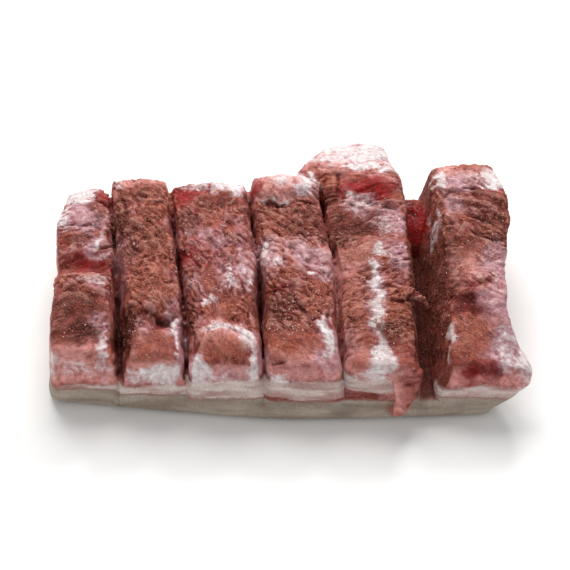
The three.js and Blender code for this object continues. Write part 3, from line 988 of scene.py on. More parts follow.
class Terrain:
    """Works out the relief and the dressing at any place on the slab."""

    # How far apart the same pattern is looked up for the three axes.
    AXIS_GAP = 50
    # How smooth each layer keeps the meat below it, and how bare of rub.
    SOFTNESS = {Layer.FAT: 0.75, Layer.PINK: 0.6, Layer.SHEEN_MEMBRANE: 0.45}
    BARENESS = {Layer.FAT: 1.0, Layer.SHEEN_MEMBRANE: 0.95, Layer.RED: 1.1, Layer.PINK: 0.85}
    # Mean value of the noise's size, which ridges and furrows are measured from.
    MEAN_SWING = 0.3

    def __init__(self, seed: int = 7) -> None:
        """Sets up the kinds of unevenness.

        Args:
            seed: Number that all random draws start from.
        """
        self.bands = Bands()
        self.zones = Zones()
        self.slopes = Slopes()
        self.heights = Heights()
        self.shares = Shares()
        self.textures = Textures()
        self.noise = {source: Noise(seed + source.value) for source in Source}
        self.tears = Tears().strokes(np.random.default_rng(seed))

    def uneven(self, texture: Texture, points: Array) -> Array:
        """Unevenness of one kind at each place, up to about its height either way."""
        return texture.height * self.noise[texture.source].smooth(points + texture.shift, texture.width)

    def _push(self, texture: Texture, points: Array) -> Array:
        """Unevenness of one kind in three directions at each place."""
        return np.column_stack([self.uneven(texture, points + self.AXIS_GAP * axis) for axis in range(3)])

    def _warped(self, points: Array) -> Array:
        """Places along and across the fibres of their strip, pushed about so that fibres wander."""
        angle = np.radians(np.array(GRAIN_DEGREES))[strip_of(points)]
        cos, sin = np.cos(angle), np.sin(angle)
        along = points[:, 0] * cos + points[:, 1] * sin
        across = points[:, 1] * cos - points[:, 0] * sin
        return np.column_stack([along, across, points[:, 2]]) + self._push(self.textures.wander, points)

    def _astray(self, points: Array) -> Array:
        """Places pushed about, where patches are looked up so that their outlines are torn."""
        return points + self._push(self.textures.torn, points) + self._push(self.textures.frayed, points)

    def _regions(self, points: Array, normals: Array, places: Array) -> Regions:
        """Finds out which parts of the slab each place lies in.

        Args:
            points: Places, one row each.
            normals: Directions that the surface faces there.
            places: The same places, pushed about.

        Returns:
            The regions.
        """
        zones, slopes = self.zones, self.slopes
        x, y, z = points.T
        front = smoothstep(*zones.front, y)
        sides = (smoothstep(*zones.left, x), smoothstep(*zones.right, x))
        wide_cut = smoothstep(*zones.cut_left, x) * smoothstep(*zones.cut_right, x)
        inner = smoothstep(*zones.floor_front, y) * smoothstep(*zones.floor_back, y)
        inner = inner * smoothstep(0.2, 0.5, wide_cut)
        mouth = np.min([np.abs(x - cut.at(y)) for cut in NARROW_CUTS], axis=0)
        notch = smoothstep(*zones.mouth, mouth) * smoothstep(*slopes.notch, np.abs(normals[:, 0]))
        return Regions(
            outside=np.maximum.reduce([front, smoothstep(*zones.back, y), *sides]),
            upright=smoothstep(*slopes.upright, normals[:, 2]),
            front=front,
            wide_cut=wide_cut,
            floor=smoothstep(*slopes.floor, normals[:, 2]) * smoothstep(*zones.floor, z) * inner,
            notch=notch * smoothstep(*zones.notch, z),
            flap=smoothstep(0.15, 0.4, FLAP.cover(points)),
            flank=np.minimum(1, 1.4 * FLANK.cover(places)),
        )

    @staticmethod
    def _patches(places: Array, layer: Layer, fray: Array) -> Array:
        """The strongest cover of a layer's patches, with frayed edges.

        Args:
            places: Where the patches are looked up, one row each.
            layer: Layer whose patches are asked for.
            fray: Unevenness of the edges at each place.

        Returns:
            Cover from 0 to 1.
        """
        cover = np.maximum.reduce([patch.cover(places) for patch in PATCHES[layer]])
        return np.clip((cover + fray * np.minimum(1, 4 * cover) - 0.04) / 0.9, 0, 1)

    def _tissues(self, points: Array, places: Array, warped: Array, streaks: Array) -> dict[Layer, Array]:
        """Lays out the patches of all layers, with thin membranes of painted sheen between them.

        Args:
            points: Places, one row each.
            places: The same places, pushed about.
            warped: The same places along, across and above the fibres.
            streaks: Unevenness of the fibres there.

        Returns:
            The cover of each layer.
        """
        textures, shares = self.textures, self.shares
        fray = self.uneven(textures.ragged, points) + self.uneven(textures.grainy, points) + 0.15 * streaks
        cover = {layer: self._patches(places, layer, fray) for layer in PATCHES}
        # Lilac membrane of painted sheen around the fat and over the lean
        sheen_halo = shares.sheen_halo * smoothstep(0.0, 0.6, cover[Layer.FAT])
        sheen_halo = sheen_halo * (1 - cover[Layer.RED]) * (1 - shares.hidden * cover[Layer.PINK])
        cover[Layer.SHEEN_MEMBRANE] = np.maximum(cover[Layer.SHEEN_MEMBRANE], sheen_halo)
        sheen_veil = smoothstep(0.05, 0.55, self.uneven(textures.sheen_veil, warped) + 0.4 * streaks)
        sheen_veil = shares.sheen_veil * sheen_veil * (1 - cover[Layer.RED])
        cover[Layer.SHEEN_MEMBRANE] = np.maximum(cover[Layer.SHEEN_MEMBRANE], sheen_veil)
        return cover

    def _outer_layers(
        self, cover: dict[Layer, Array], points: Array, normals: Array, part: Regions
    ) -> tuple[Array, Array]:
        """Adds the rind and the clean flesh of the outer faces to the cover.

        Args:
            cover: Cover of each layer, which is changed.
            points: Places, one row each.
            normals: Directions that the surface faces there.
            part: Parts of the slab that they lie in.

        Returns:
            The band of fat that shows between lean and flesh, and the lean meat below it.
        """
        bands, textures, shares = self.bands, self.textures, self.shares
        strip = strip_of(points)
        height = points[:, 2] + self.uneven(textures.wavy_bands, points)
        fat_top = np.array(bands.fat)[strip]
        band = part.upright * part.outside * smoothstep(2.5, -2.5, height - fat_top)
        lean = smoothstep(1.2, -1.2, height - np.array(bands.lean)[strip])
        lean *= part.upright * part.front
        band *= 1 - lean
        flesh = part.outside * part.upright * smoothstep(fat_top - 2, fat_top + 4, height)
        flesh = flesh * smoothstep(*self.zones.flesh, height)
        cover[Layer.PINK] = np.maximum(cover[Layer.PINK], shares.flesh * flesh)
        cover[Layer.PINK] *= 1 - shares.hidden * cover[Layer.RED]
        low = smoothstep(bands.rind + 2.0, bands.rind, points[:, 2] + self.uneven(textures.wavy_rind, points))
        cover[Layer.RIND] = low * np.maximum(part.outside, smoothstep(*self.slopes.hanging, normals[:, 2]))
        return band, lean

    def _cut_walls(
        self, cover: dict[Layer, Array], points: Array, normals: Array, part: Regions, lean: Array
    ) -> Array:
        """Paints shade into the cuts and above the rind, and rubs the walls of the wide ones.

        Args:
            cover: Cover of each layer, which is changed.
            points: Places, one row each.
            normals: Directions that the surface faces there.
            part: Parts of the slab that they lie in.
            lean: Lean meat that shows just above the rind.

        Returns:
            The rub on the walls and on the floor.
        """
        z, shares = points[:, 2], self.shares
        # Painted shade in the depths of the cuts and on the floor of the wide cut
        deep = smoothstep(*self.zones.depths, z) * np.maximum(1 - part.outside, part.notch)
        deep = np.maximum(deep * (1 - 0.8 * part.wide_cut), shares.floor_shade * part.floor)
        cover[Layer.FAT] *= 1 - 0.9 * np.maximum(part.floor, part.notch)
        cover[Layer.RIND] *= 1 - 0.9 * part.floor
        for layer in (Layer.FAT, Layer.RIND, Layer.PAINTED_SHADE):
            cover[layer] *= 1 - part.flap
        wall = np.maximum(part.wide_cut, part.flank) * smoothstep(*self.slopes.wall, np.abs(normals[:, 0]))
        wall = wall * smoothstep(*self.zones.meat, z)
        wall = wall * (1 - cover[Layer.RED]) * (1 - cover[Layer.FAT])
        wall = np.maximum(wall, part.floor)
        cover[Layer.BROWN] = np.maximum(cover[Layer.BROWN], shares.wall_rub * wall)
        # Painted shade: patches in hollows, the depths, the gaping side and the lean above the rind
        painted_shades = (
            cover[Layer.PAINTED_SHADE],
            shares.deep_shade * deep * (1 - 0.6 * cover[Layer.RED]),
            shares.flank_shade * wall * part.flank,
            shares.seam_shade * lean * (1 - part.flap) * (1 - part.wide_cut),
        )
        cover[Layer.PAINTED_SHADE] = np.maximum.reduce(painted_shades)
        return wall

    def _dust(self, cover: Mapping[Layer, Array], points: Array, normals: Array, wall: Array) -> Array:
        """How much rub clings to each place.

        Args:
            cover: Cover of each layer.
            points: Places, one row each.
            normals: Directions that the surface faces there.
            wall: Rub on the walls of the cuts.

        Returns:
            Rub from 0 to 1.
        """
        shares = self.shares
        bare = np.maximum.reduce([share * cover[layer] for layer, share in self.BARENESS.items()])
        strewn = shares.strewn_rub + self.uneven(self.textures.dusting, points)
        strewn = strewn + self.uneven(self.textures.fine_dusting, points)
        tan = shares.tan_rub * cover[Layer.TAN]
        rub = np.maximum.reduce([strewn - shares.held_off * bare, tan, cover[Layer.BROWN]])
        rub = rub * smoothstep(*self.slopes.rubbed, normals[:, 2])
        rub = rub * smoothstep(*self.zones.rubbed, points[:, 2])
        return np.clip(np.maximum(rub, wall), 0, 1)

    def dress(self, points: Array, normals: Array) -> Dressing:
        """Works out what covers each place.

        Args:
            points: Places, one row each.
            normals: Directions that the surface faces there.

        Returns:
            The dressing.
        """
        warped = self._warped(points)
        streaks = self.uneven(self.textures.fibres, warped)
        places = self._astray(points)
        part = self._regions(points, normals, places)
        cover = self._tissues(points, places, warped, streaks)
        band, lean = self._outer_layers(cover, points, normals, part)
        wall = self._cut_walls(cover, points, normals, part, lean)
        band *= (1 - part.flap) * (1 - part.floor)
        dust = self._dust(cover, points, normals, wall)
        return Dressing(cover, dust, band, 0.5 + 0.5 * streaks, warped)

    def _creases(self, warped: Array) -> Array:
        """The creases between the folds of the meat, 1 at their bottoms."""
        folds = np.abs(self.uneven(self.textures.folds, warped))
        cracks = np.abs(self.uneven(self.textures.cracks, warped))
        return np.clip(np.exp(-((folds / 0.09) ** 2)) + 0.6 * np.exp(-((cracks / 0.09) ** 2)), 0, 1)

    def _crinkles(self, warped: Array) -> Array:
        """Sharp little ridges and cracks of several sizes, along the grain."""
        textures, heights = self.textures, self.heights
        lift = heights.ridges * (self.MEAN_SWING - np.abs(self.uneven(textures.ridges, warped)))
        lift += heights.furrows * (np.abs(self.uneven(textures.furrows, warped)) - self.MEAN_SWING)
        return lift + heights.nicks * (np.abs(self.uneven(textures.nicks, warped)) - self.MEAN_SWING)

    def relief(self, points: Array, normals: Array, dressing: Dressing) -> Array:
        """How far the sculpted surface stands out from the plain form.

        Args:
            points: Places, one row each.
            normals: Directions that the surface faces there.
            dressing: What covers the same places.

        Returns:
            Distances along the normals, in millimetres.
        """
        textures, heights, cover, warped = self.textures, self.heights, dressing.cover, dressing.warped
        z, shares = points[:, 2], self.shares
        meat = smoothstep(*self.zones.meat, z)
        top = smoothstep(*self.slopes.level, normals[:, 2]) * smoothstep(*self.zones.top, z)
        soft = np.maximum.reduce([share * cover[layer] for layer, share in self.SOFTNESS.items()])
        calm = 1 - shares.calm * smoothstep(*self.zones.calm_front, points[:, 1])
        taut = np.maximum.reduce([patch.cover(points) for patch in TAUT])
        rough = at_least(0.25, top) * (1 - soft) * calm * (1 - shares.taut * taut)
        fibrous = at_least(0.3, rough)
        creased = at_least(0.15, smoothstep(-0.35, 0.45, self.uneven(textures.creased, points)))
        crinkled = at_least(0.3, smoothstep(-0.3, 0.4, self.uneven(textures.crinkled, points)))
        crumbs = 0.5 - self.noise[Source.CRUMBS].cells(self._astray(points), heights.crumb_gap)
        crumb_height = heights.dust * dressing.dust + heights.tan * cover[Layer.TAN]
        crumb_height = crumb_height + heights.brown * cover[Layer.BROWN]

        lift = self.uneven(textures.lumps, points) + self.uneven(textures.bumps, points)
        lift -= heights.creases * self._creases(warped) * rough * creased
        lift += heights.fibres * (dressing.fibre - 0.5) * fibrous
        lift += self.uneven(textures.knobs, points) * fibrous
        lift += self._crinkles(warped) * rough * crinkled
        lift += crumbs * crumb_height * rough
        lift *= meat
        lift += self.uneven(textures.rind, points) * (1 - meat)
        for stroke in STROKES:
            lift += stroke.lift(points) * top
        for tear in self.tears:
            lift += tear.lift(points) * top * calm * (1 - shares.taut_tears * taut)
        for bulge in BULGES:
            lift += bulge.cover(points) * top
        return lift * smoothstep(*self.zones.foot, z)


# ---------------------------------------------------------------------------------------------------------
# The skin of the slab
# ---------------------------------------------------------------------------------------------------------


@dataclass
class SlabSkin:
    """The visible surface of the slab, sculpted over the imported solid. Sizes are in millimetres."""

    node: bpy.types.Object
    terrain: Terrain
    voxel: float = 0.62
    weld: float = 0.01
    smoothing: int = 12
    tallest: float = 49.2
    easing: float = 3.5
    # How often the lift is evened out to find hollows of three sizes.
    blurs: tuple[int, int, int] = (2, 8, 40)
    # What counts as level, and how much each millimetre of a small or a large hollow adds to it.
    level_meat: float = 0.4
    small_hollows: float = 1.5
    large_hollows: float = 0.4

    def _plain_form(self) -> bpy.types.Object:
        """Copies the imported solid's surface and divides it evenly.

        Returns:
            A new object with the fine mesh.
        """
        mesh = self.node.data.copy()
        welded = bmesh.new()
        welded.from_mesh(mesh)
        bmesh.ops.remove_doubles(welded, verts=welded.verts, dist=self.weld * MM)
        welded.to_mesh(mesh)
        welded.free()
        piece = bpy.data.objects.new("pork_belly", mesh)
        bpy.context.scene.collection.objects.link(piece)
        divide = piece.modifiers.new("divide", "REMESH")
        divide.mode = "VOXEL"
        divide.voxel_size = self.voxel * MM
        soften = piece.modifiers.new("soften", "SMOOTH")
        soften.iterations = self.smoothing
        return self._applied(piece)

    @staticmethod
    def _applied(piece: bpy.types.Object) -> bpy.types.Object:
        """Turns an object's modifiers into its mesh."""
        graph = bpy.context.evaluated_depsgraph_get()
        mesh = bpy.data.meshes.new_from_object(piece.evaluated_get(graph))
        piece.modifiers.clear()
        piece.data = mesh
        return piece

    def _hollows(self, mesh: bpy.types.Mesh, lift: Array) -> Array:
        """How far each place lies below those around it, which the finish paints as shade and highlights.

        Args:
            mesh: Mesh of the slab.
            lift: How far the sculpting raises each vertex.

        Returns:
            0.4 on level meat, up to 1 in hollows and down to 0 on ridges.
        """
        soft = blurred(mesh, lift, self.blurs[0])
        near = blurred(mesh, soft, self.blurs[1])
        wide = blurred(mesh, near, self.blurs[2])
        small, large = self.small_hollows * (near - soft), self.large_hollows * (wide - near)
        return np.clip(self.level_meat + small + large, 0, 1)

    def _below_top(self, height: Array) -> Array:
        """Eases the highest lumps down, so that none stands above the tallest height."""
        start = self.tallest - self.easing
        eased = start + self.easing * np.tanh((height - start) / self.easing)
        return np.maximum(np.where(height > start, eased, height), 0)

    @staticmethod
    def _store(mesh: bpy.types.Mesh, dressing: Dressing) -> None:
        """Keeps the dressing in the mesh, for the finish to read.

        Args:
            mesh: Mesh of the slab.
            dressing: What covers its vertices.
        """
        fields = {name: dressing.columns(chosen) for name, chosen in MeatFinish.ATTRIBUTES.items()}
        fields[MeatFinish.GRAIN] = np.column_stack([dressing.warped * MM, np.ones(len(dressing.warped))])
        for name, values in fields.items():
            attribute = mesh.attributes.new(name, "FLOAT_COLOR", "POINT")
            attribute.data.foreach_set("color", values.ravel())

    def _thinned(self, piece: bpy.types.Object) -> bpy.types.Object:
        """Thins the mesh to the most triangles that a piece may have, and shades it smooth."""
        triangles = sum(len(face.vertices) - 2 for face in piece.data.polygons)
        thin = piece.modifiers.new("thin", "DECIMATE")
        thin.ratio = min(1.0, MOST_TRIANGLES / triangles)
        thin.use_collapse_triangulate = True
        piece = self._applied(piece)
        for face in piece.data.polygons:
            face.use_smooth = True
        log.info("pork_belly: %d triangles before thinning, %d after", triangles, len(piece.data.polygons))
        return piece

    def build(self) -> bpy.types.Object:
        """Makes the sculpted mesh and stores its dressing.

        Returns:
            The finished piece.
        """
        piece = self._plain_form()
        mesh = piece.data
        points, normals = surface_of(mesh)
        dressing = self.terrain.dress(points, normals)
        lift = self.terrain.relief(points, normals, dressing)
        # The hollow map, by which the finish paints shade into hollows and highlights onto ridges
        dressing.hollow = self._hollows(mesh, lift)
        points = points + normals * lift[:, None]
        points[:, 2] = self._below_top(points[:, 2])
        mesh.vertices.foreach_set("co", (points * MM).ravel())
        mesh.update()
        self._store(mesh, dressing)
        return self._thinned(piece)


def blurred(mesh: bpy.types.Mesh, values: Array, rounds: int) -> Array:
    """Evens out values over a mesh.

    Args:
        mesh: Mesh that the values belong to.
        values: One value for each vertex.
        rounds: How often each value becomes the mean of its neighbours.

    Returns:
        The evened values.
    """
    ends = np.empty(len(mesh.edges) * 2, np.int64)
    mesh.edges.foreach_get("vertices", ends)
    start, end = ends.reshape(-1, 2).T
    count = len(values)
    degree = np.bincount(start, minlength=count) + np.bincount(end, minlength=count)
    for _ in range(rounds):
        total = np.bincount(start, values[end], count) + np.bincount(end, values[start], count)
        values = total / np.maximum(degree, 1)
    return values


def field_of(mesh: bpy.types.Mesh, name: Layer | str) -> Array:
    """Reads one stored field of the dressing at each vertex.

    Args:
        mesh: Mesh of the slab.
        name: Field that is asked for.

    Returns:
        Its values, from 0 to 1.
    """
    attribute, fields = next(item for item in MeatFinish.ATTRIBUTES.items() if name in item[1])
    values = np.empty(len(mesh.vertices) * 4)
    mesh.attributes[attribute].data.foreach_get("color", values)
    return values.reshape(-1, 4)[:, fields.index(name)]


def surface_of(mesh: bpy.types.Mesh) -> tuple[Array, Array]:
    """Reads a mesh's points, in millimetres, and the directions that they face."""
    points = np.empty(len(mesh.vertices) * 3)
    normals = np.empty(len(mesh.vertices) * 3)
    mesh.vertices.foreach_get("co", points)
    mesh.vertices.foreach_get("normal", normals)
    return points.reshape(-1, 3) / MM, normals.reshape(-1, 3)


# ---------------------------------------------------------------------------------------------------------
# Loose crumbs and grains
# ---------------------------------------------------------------------------------------------------------


@dataclass
class Scatter:
    """Small grains of one kind, strewn over the slab as one mesh. Sizes are in millimetres."""

    # The corners and sides of an eight-sided grain
    TIPS: ClassVar[Array] = np.array(
        [[1, 0, 0], [-1, 0, 0], [0, 1, 0], [0, -1, 0], [0, 0, 1], [0, 0, -1]], float
    )
    SIDES: ClassVar[Array] = np.array(
        [[0, 2, 4], [2, 1, 4], [1, 3, 4], [3, 0, 4], [2, 0, 5], [1, 2, 5], [3, 1, 5], [0, 3, 5]]
    )
    TONE: ClassVar[str] = "tone"

    name: str
    slot: str
    count: int
    size: Span
    flatness: float
    seed: int
    sunk: float = 0.25
    smallness: float = 1.6
    tone_spread: float = 0.25
    reach: Span = (0.65, 1.35)
    skew: float = 0.28
    lowest: float = 0.05

    def build(self, slab: bpy.types.Object, chance: Array, shade: Array) -> bpy.types.Object:
        """Strews the grains.

        Args:
            slab: Piece that they lie on.
            chance: How likely a grain is at each vertex of the slab.
            shade: How light the grains are there, from 0 to 1.

        Returns:
            The piece that holds all grains.
        """
        draw = np.random.default_rng(self.seed)
        mesh = slab.data
        points, normals = surface_of(mesh)
        corners = np.empty(len(mesh.loops), np.int64)
        mesh.loops.foreach_get("vertex_index", corners)
        corners = corners.reshape(-1, 3)
        a, b, c = (points[corners[:, k]] for k in range(3))
        area = np.linalg.norm(np.cross(b - a, c - a), axis=1) / 2
        weight = area * chance[corners].mean(axis=1)
        chosen = draw.choice(len(corners), self.count, p=weight / weight.sum())
        share = draw.dirichlet((1, 1, 1), self.count)[:, :, None]
        place = (points[corners[chosen]] * share).sum(axis=1)
        upright = (normals[corners[chosen]] * share).sum(axis=1)
        upright /= np.linalg.norm(upright, axis=1, keepdims=True)
        smallest, largest = self.size
        size = smallest * (largest / smallest) ** draw.random(self.count) ** self.smallness
        spread = draw.uniform(-self.tone_spread, self.tone_spread, self.count)
        tone = np.clip(shade[corners[chosen]].mean(axis=1) + spread, 0, 1)
        return self._mesh(draw, place, upright, size, tone)

    def _mesh(
        self, draw: np.random.Generator, place: Array, upright: Array, size: Array, tone: Array
    ) -> bpy.types.Object:
        """Joins one uneven eight-sided grain at each place.

        Args:
            draw: Source of random numbers.
            place: Middles of the grains.
            upright: Directions that the surface faces there.
            size: Widths of the grains.
            tone: How light each grain is, from 0 to 1.

        Returns:
            The joined piece.
        """
        count, tips = len(place), len(self.TIPS)
        guide = draw.normal(size=(count, 3))
        across = np.cross(upright, guide)
        across /= np.linalg.norm(across, axis=1, keepdims=True)
        axes = np.stack([across, np.cross(upright, across), upright * self.flatness], axis=1)
        reach = draw.uniform(*self.reach, (count, tips, 1))
        uneven = self.TIPS[None] * reach + draw.uniform(-self.skew, self.skew, (count, tips, 3))
        shape = np.einsum("nij,njk->nik", uneven, axes) * (size / 2)[:, None, None]
        middle = place + upright * (size * self.flatness * (0.5 - self.sunk))[:, None]
        points = (shape + middle[:, None, :]).reshape(-1, 3)
        points[:, 2] = np.clip(points[:, 2], self.lowest, SlabSkin.tallest)
        faces = (self.SIDES[None] + tips * np.arange(count)[:, None, None]).reshape(-1, 3)
        mesh = bpy.data.meshes.new(self.name)
        mesh.from_pydata((points * MM).tolist(), [], faces.tolist())
        tones = mesh.attributes.new(self.TONE, "FLOAT", "POINT")
        tones.data.foreach_set("value", np.repeat(tone, tips))
        for face in mesh.polygons:
            face.use_smooth = True
        piece = bpy.data.objects.new(self.name, mesh)
        bpy.context.scene.collection.objects.link(piece)
        return piece


# ---------------------------------------------------------------------------------------------------------
# Finishes
# ---------------------------------------------------------------------------------------------------------


class Sock:
    """A shader value that adds Math nodes when it is used in an expression."""

    def __init__(self, graph: Graph, socket: bpy.types.NodeSocket) -> None:
        """Wraps an output socket of a graph."""
        self.graph = graph
        self.socket = socket

    def _math(self, operation: str, first: Value, second: Value = 0.0) -> Sock:
        """Adds one Math node."""
        return self.graph.node("ShaderNodeMath", {"operation": operation}, {0: first, 1: second})

    def __add__(self, other: Value) -> Sock:
        """Adds."""
        return self._math("ADD", self, other)

    def __radd__(self, other: Value) -> Sock:
        """Adds to a number."""
        return self._math("ADD", other, self)

    def __sub__(self, other: Value) -> Sock:
        """Takes a value away."""
        return self._math("SUBTRACT", self, other)

    def __rsub__(self, other: Value) -> Sock:
        """Is taken away from a number."""
        return self._math("SUBTRACT", other, self)

    def __mul__(self, other: Value) -> Sock:
        """Multiplies."""
        return self._math("MULTIPLY", self, other)

    def __rmul__(self, other: Value) -> Sock:
        """Multiplies a number."""
        return self._math("MULTIPLY", other, self)


Value = Sock | float | Sequence[float]


@dataclass(frozen=True)
class Pattern:
    """A pattern of noise, by the width of its lumps in millimetres, its finer layers and their strength.

    stretch says how much finer the lumps are along each axis.
    """

    size: float
    detail: float = 3.0
    roughness: float = 0.55
    stretch: tuple[float, float, float] = (1, 1, 1)


class Graph:
    """The node tree of one material."""

    def __init__(self, name: str) -> None:
        """Starts a material with only an output."""
        self.material = bpy.data.materials.new(name)
        self.material.use_nodes = True
        self.tree = self.material.node_tree
        self.tree.nodes.clear()

    def node(
        self,
        kind: str,
        settings: Mapping[str, object] | None = None,
        inputs: Mapping[str | int, Value] | None = None,
        output: str | int = 0,
    ) -> Sock:
        """Adds a node.

        Args:
            kind: Blender's name of the node's type.
            settings: Its properties, which are set first. stops gives a ramp's places and colours.
            inputs: Values or links of its sockets, by name or number.
            output: Socket that is handed back.

        Returns:
            The chosen output.
        """
        node = self.tree.nodes.new(kind)
        for name, value in (settings or {}).items():
            if name == "stops":
                self._set_stops(node.color_ramp, value)
            else:
                setattr(node, name, value)
        for name, value in (inputs or {}).items():
            if isinstance(value, Sock):
                self.tree.links.new(value.socket, node.inputs[name])
            else:
                node.inputs[name].default_value = value
        return Sock(self, node.outputs[output]) if len(node.outputs) else Sock(self, None)

    @staticmethod
    def _set_stops(ramp: bpy.types.ColorRamp, stops: Iterable[tuple[float, Colour]]) -> None:
        """Gives a ramp its colours."""
        for number, (place, colour) in enumerate(stops):
            element = ramp.elements[number] if number < 2 else ramp.elements.new(place)
            element.position = place
            element.color = colour

    def place(self) -> Sock:
        """The place on the object, in metres."""
        return self.node("ShaderNodeTexCoord", output="Object")

    def attribute(self, name: str, output: str) -> Sock:
        """Reads a field that is stored in the mesh."""
        return self.node("ShaderNodeAttribute", {"attribute_name": name}, output=output)

    def noise(self, pattern: Pattern, place: Sock | None = None) -> Sock:
        """Adds noise, from 0 to 1.

        Args:
            pattern: Kind of noise.
            place: Where it is looked up, if not at the place on the object.

        Returns:
            The noise's value.
        """
        stretched = {0: place or self.place(), 1: pattern.stretch}
        inputs = {
            "Vector": self.node("ShaderNodeVectorMath", {"operation": "MULTIPLY"}, stretched),
            "Scale": 1 / (pattern.size * MM),
            "Detail": pattern.detail,
            "Roughness": pattern.roughness,
        }
        return self.node("ShaderNodeTexNoise", {"noise_dimensions": "3D"}, inputs)

    def step(self, value: Value, low: float, high: float) -> Sock:
        """Rises smoothly from 0 at low to 1 at high."""
        settings = {"interpolation_type": "SMOOTHSTEP"}
        return self.node("ShaderNodeMapRange", settings, {0: value, 1: low, 2: high})

    def mix(self, share: Value, first: Value, second: Value) -> Sock:
        """Mixes two colours."""
        return self.node("ShaderNodeMix", {"data_type": "RGBA"}, {0: share, 6: first, 7: second}, 2)

    def darken(self, colour: Value, share: Value) -> Sock:
        """Multiplies a colour by a grey value."""
        grey = self.node("ShaderNodeCombineColor", inputs={0: share, 1: share, 2: share})
        settings = {"data_type": "RGBA", "blend_type": "MULTIPLY"}
        return self.node("ShaderNodeMix", settings, {0: 1.0, 6: colour, 7: grey}, 2)

    def bump(self, height: Value, distance: float, strength: Value = 1.0, normal: Sock | None = None) -> Sock:
        """Bump of a height, distance millimetres from its lowest to its highest."""
        inputs: dict[str | int, Value] = {"Height": height, "Distance": distance * MM, "Strength": strength}
        if normal is not None:
            inputs["Normal"] = normal
        return self.node("ShaderNodeBump", inputs=inputs)

    def finish(self, inputs: Mapping[str | int, Value]) -> bpy.types.Material:
        """Ends the material in a Principled shader.

        Args:
            inputs: Values or links of the shader's sockets.

        Returns:
            The finished material.
        """
        shader = self.node("ShaderNodeBsdfPrincipled", inputs=inputs)
        self.node("ShaderNodeOutputMaterial", inputs={"Surface": shader})
        return self.material


@dataclass(frozen=True)
class Tissue:
    """One kind of tissue: its pale and deep colours, and how fully it hides what lies below it."""

    pale: Colour
    deep: Colour
    hiding: float


@dataclass(frozen=True)
class Rub:
    """Rub of one tone: the colours of its light and dark specks."""

    light: Colour
    dark: Colour


@dataclass(frozen=True)
class Weave:
    """The patterns that all layers of the meat are mixed by, from 0 to 1.

    lively is 1 in the middle of the slab and lower at its front and back, where the meat is smoother.
    """

    broad: Sock
    middle: Sock
    fine: Sock
    grit: Sock
    threads: Sock
    cracks: Sock
    # Flake edges, which are bumped and painted with highlights
    flakes: Sock
    fray: Sock
    calm: Sock
    lively: Sock


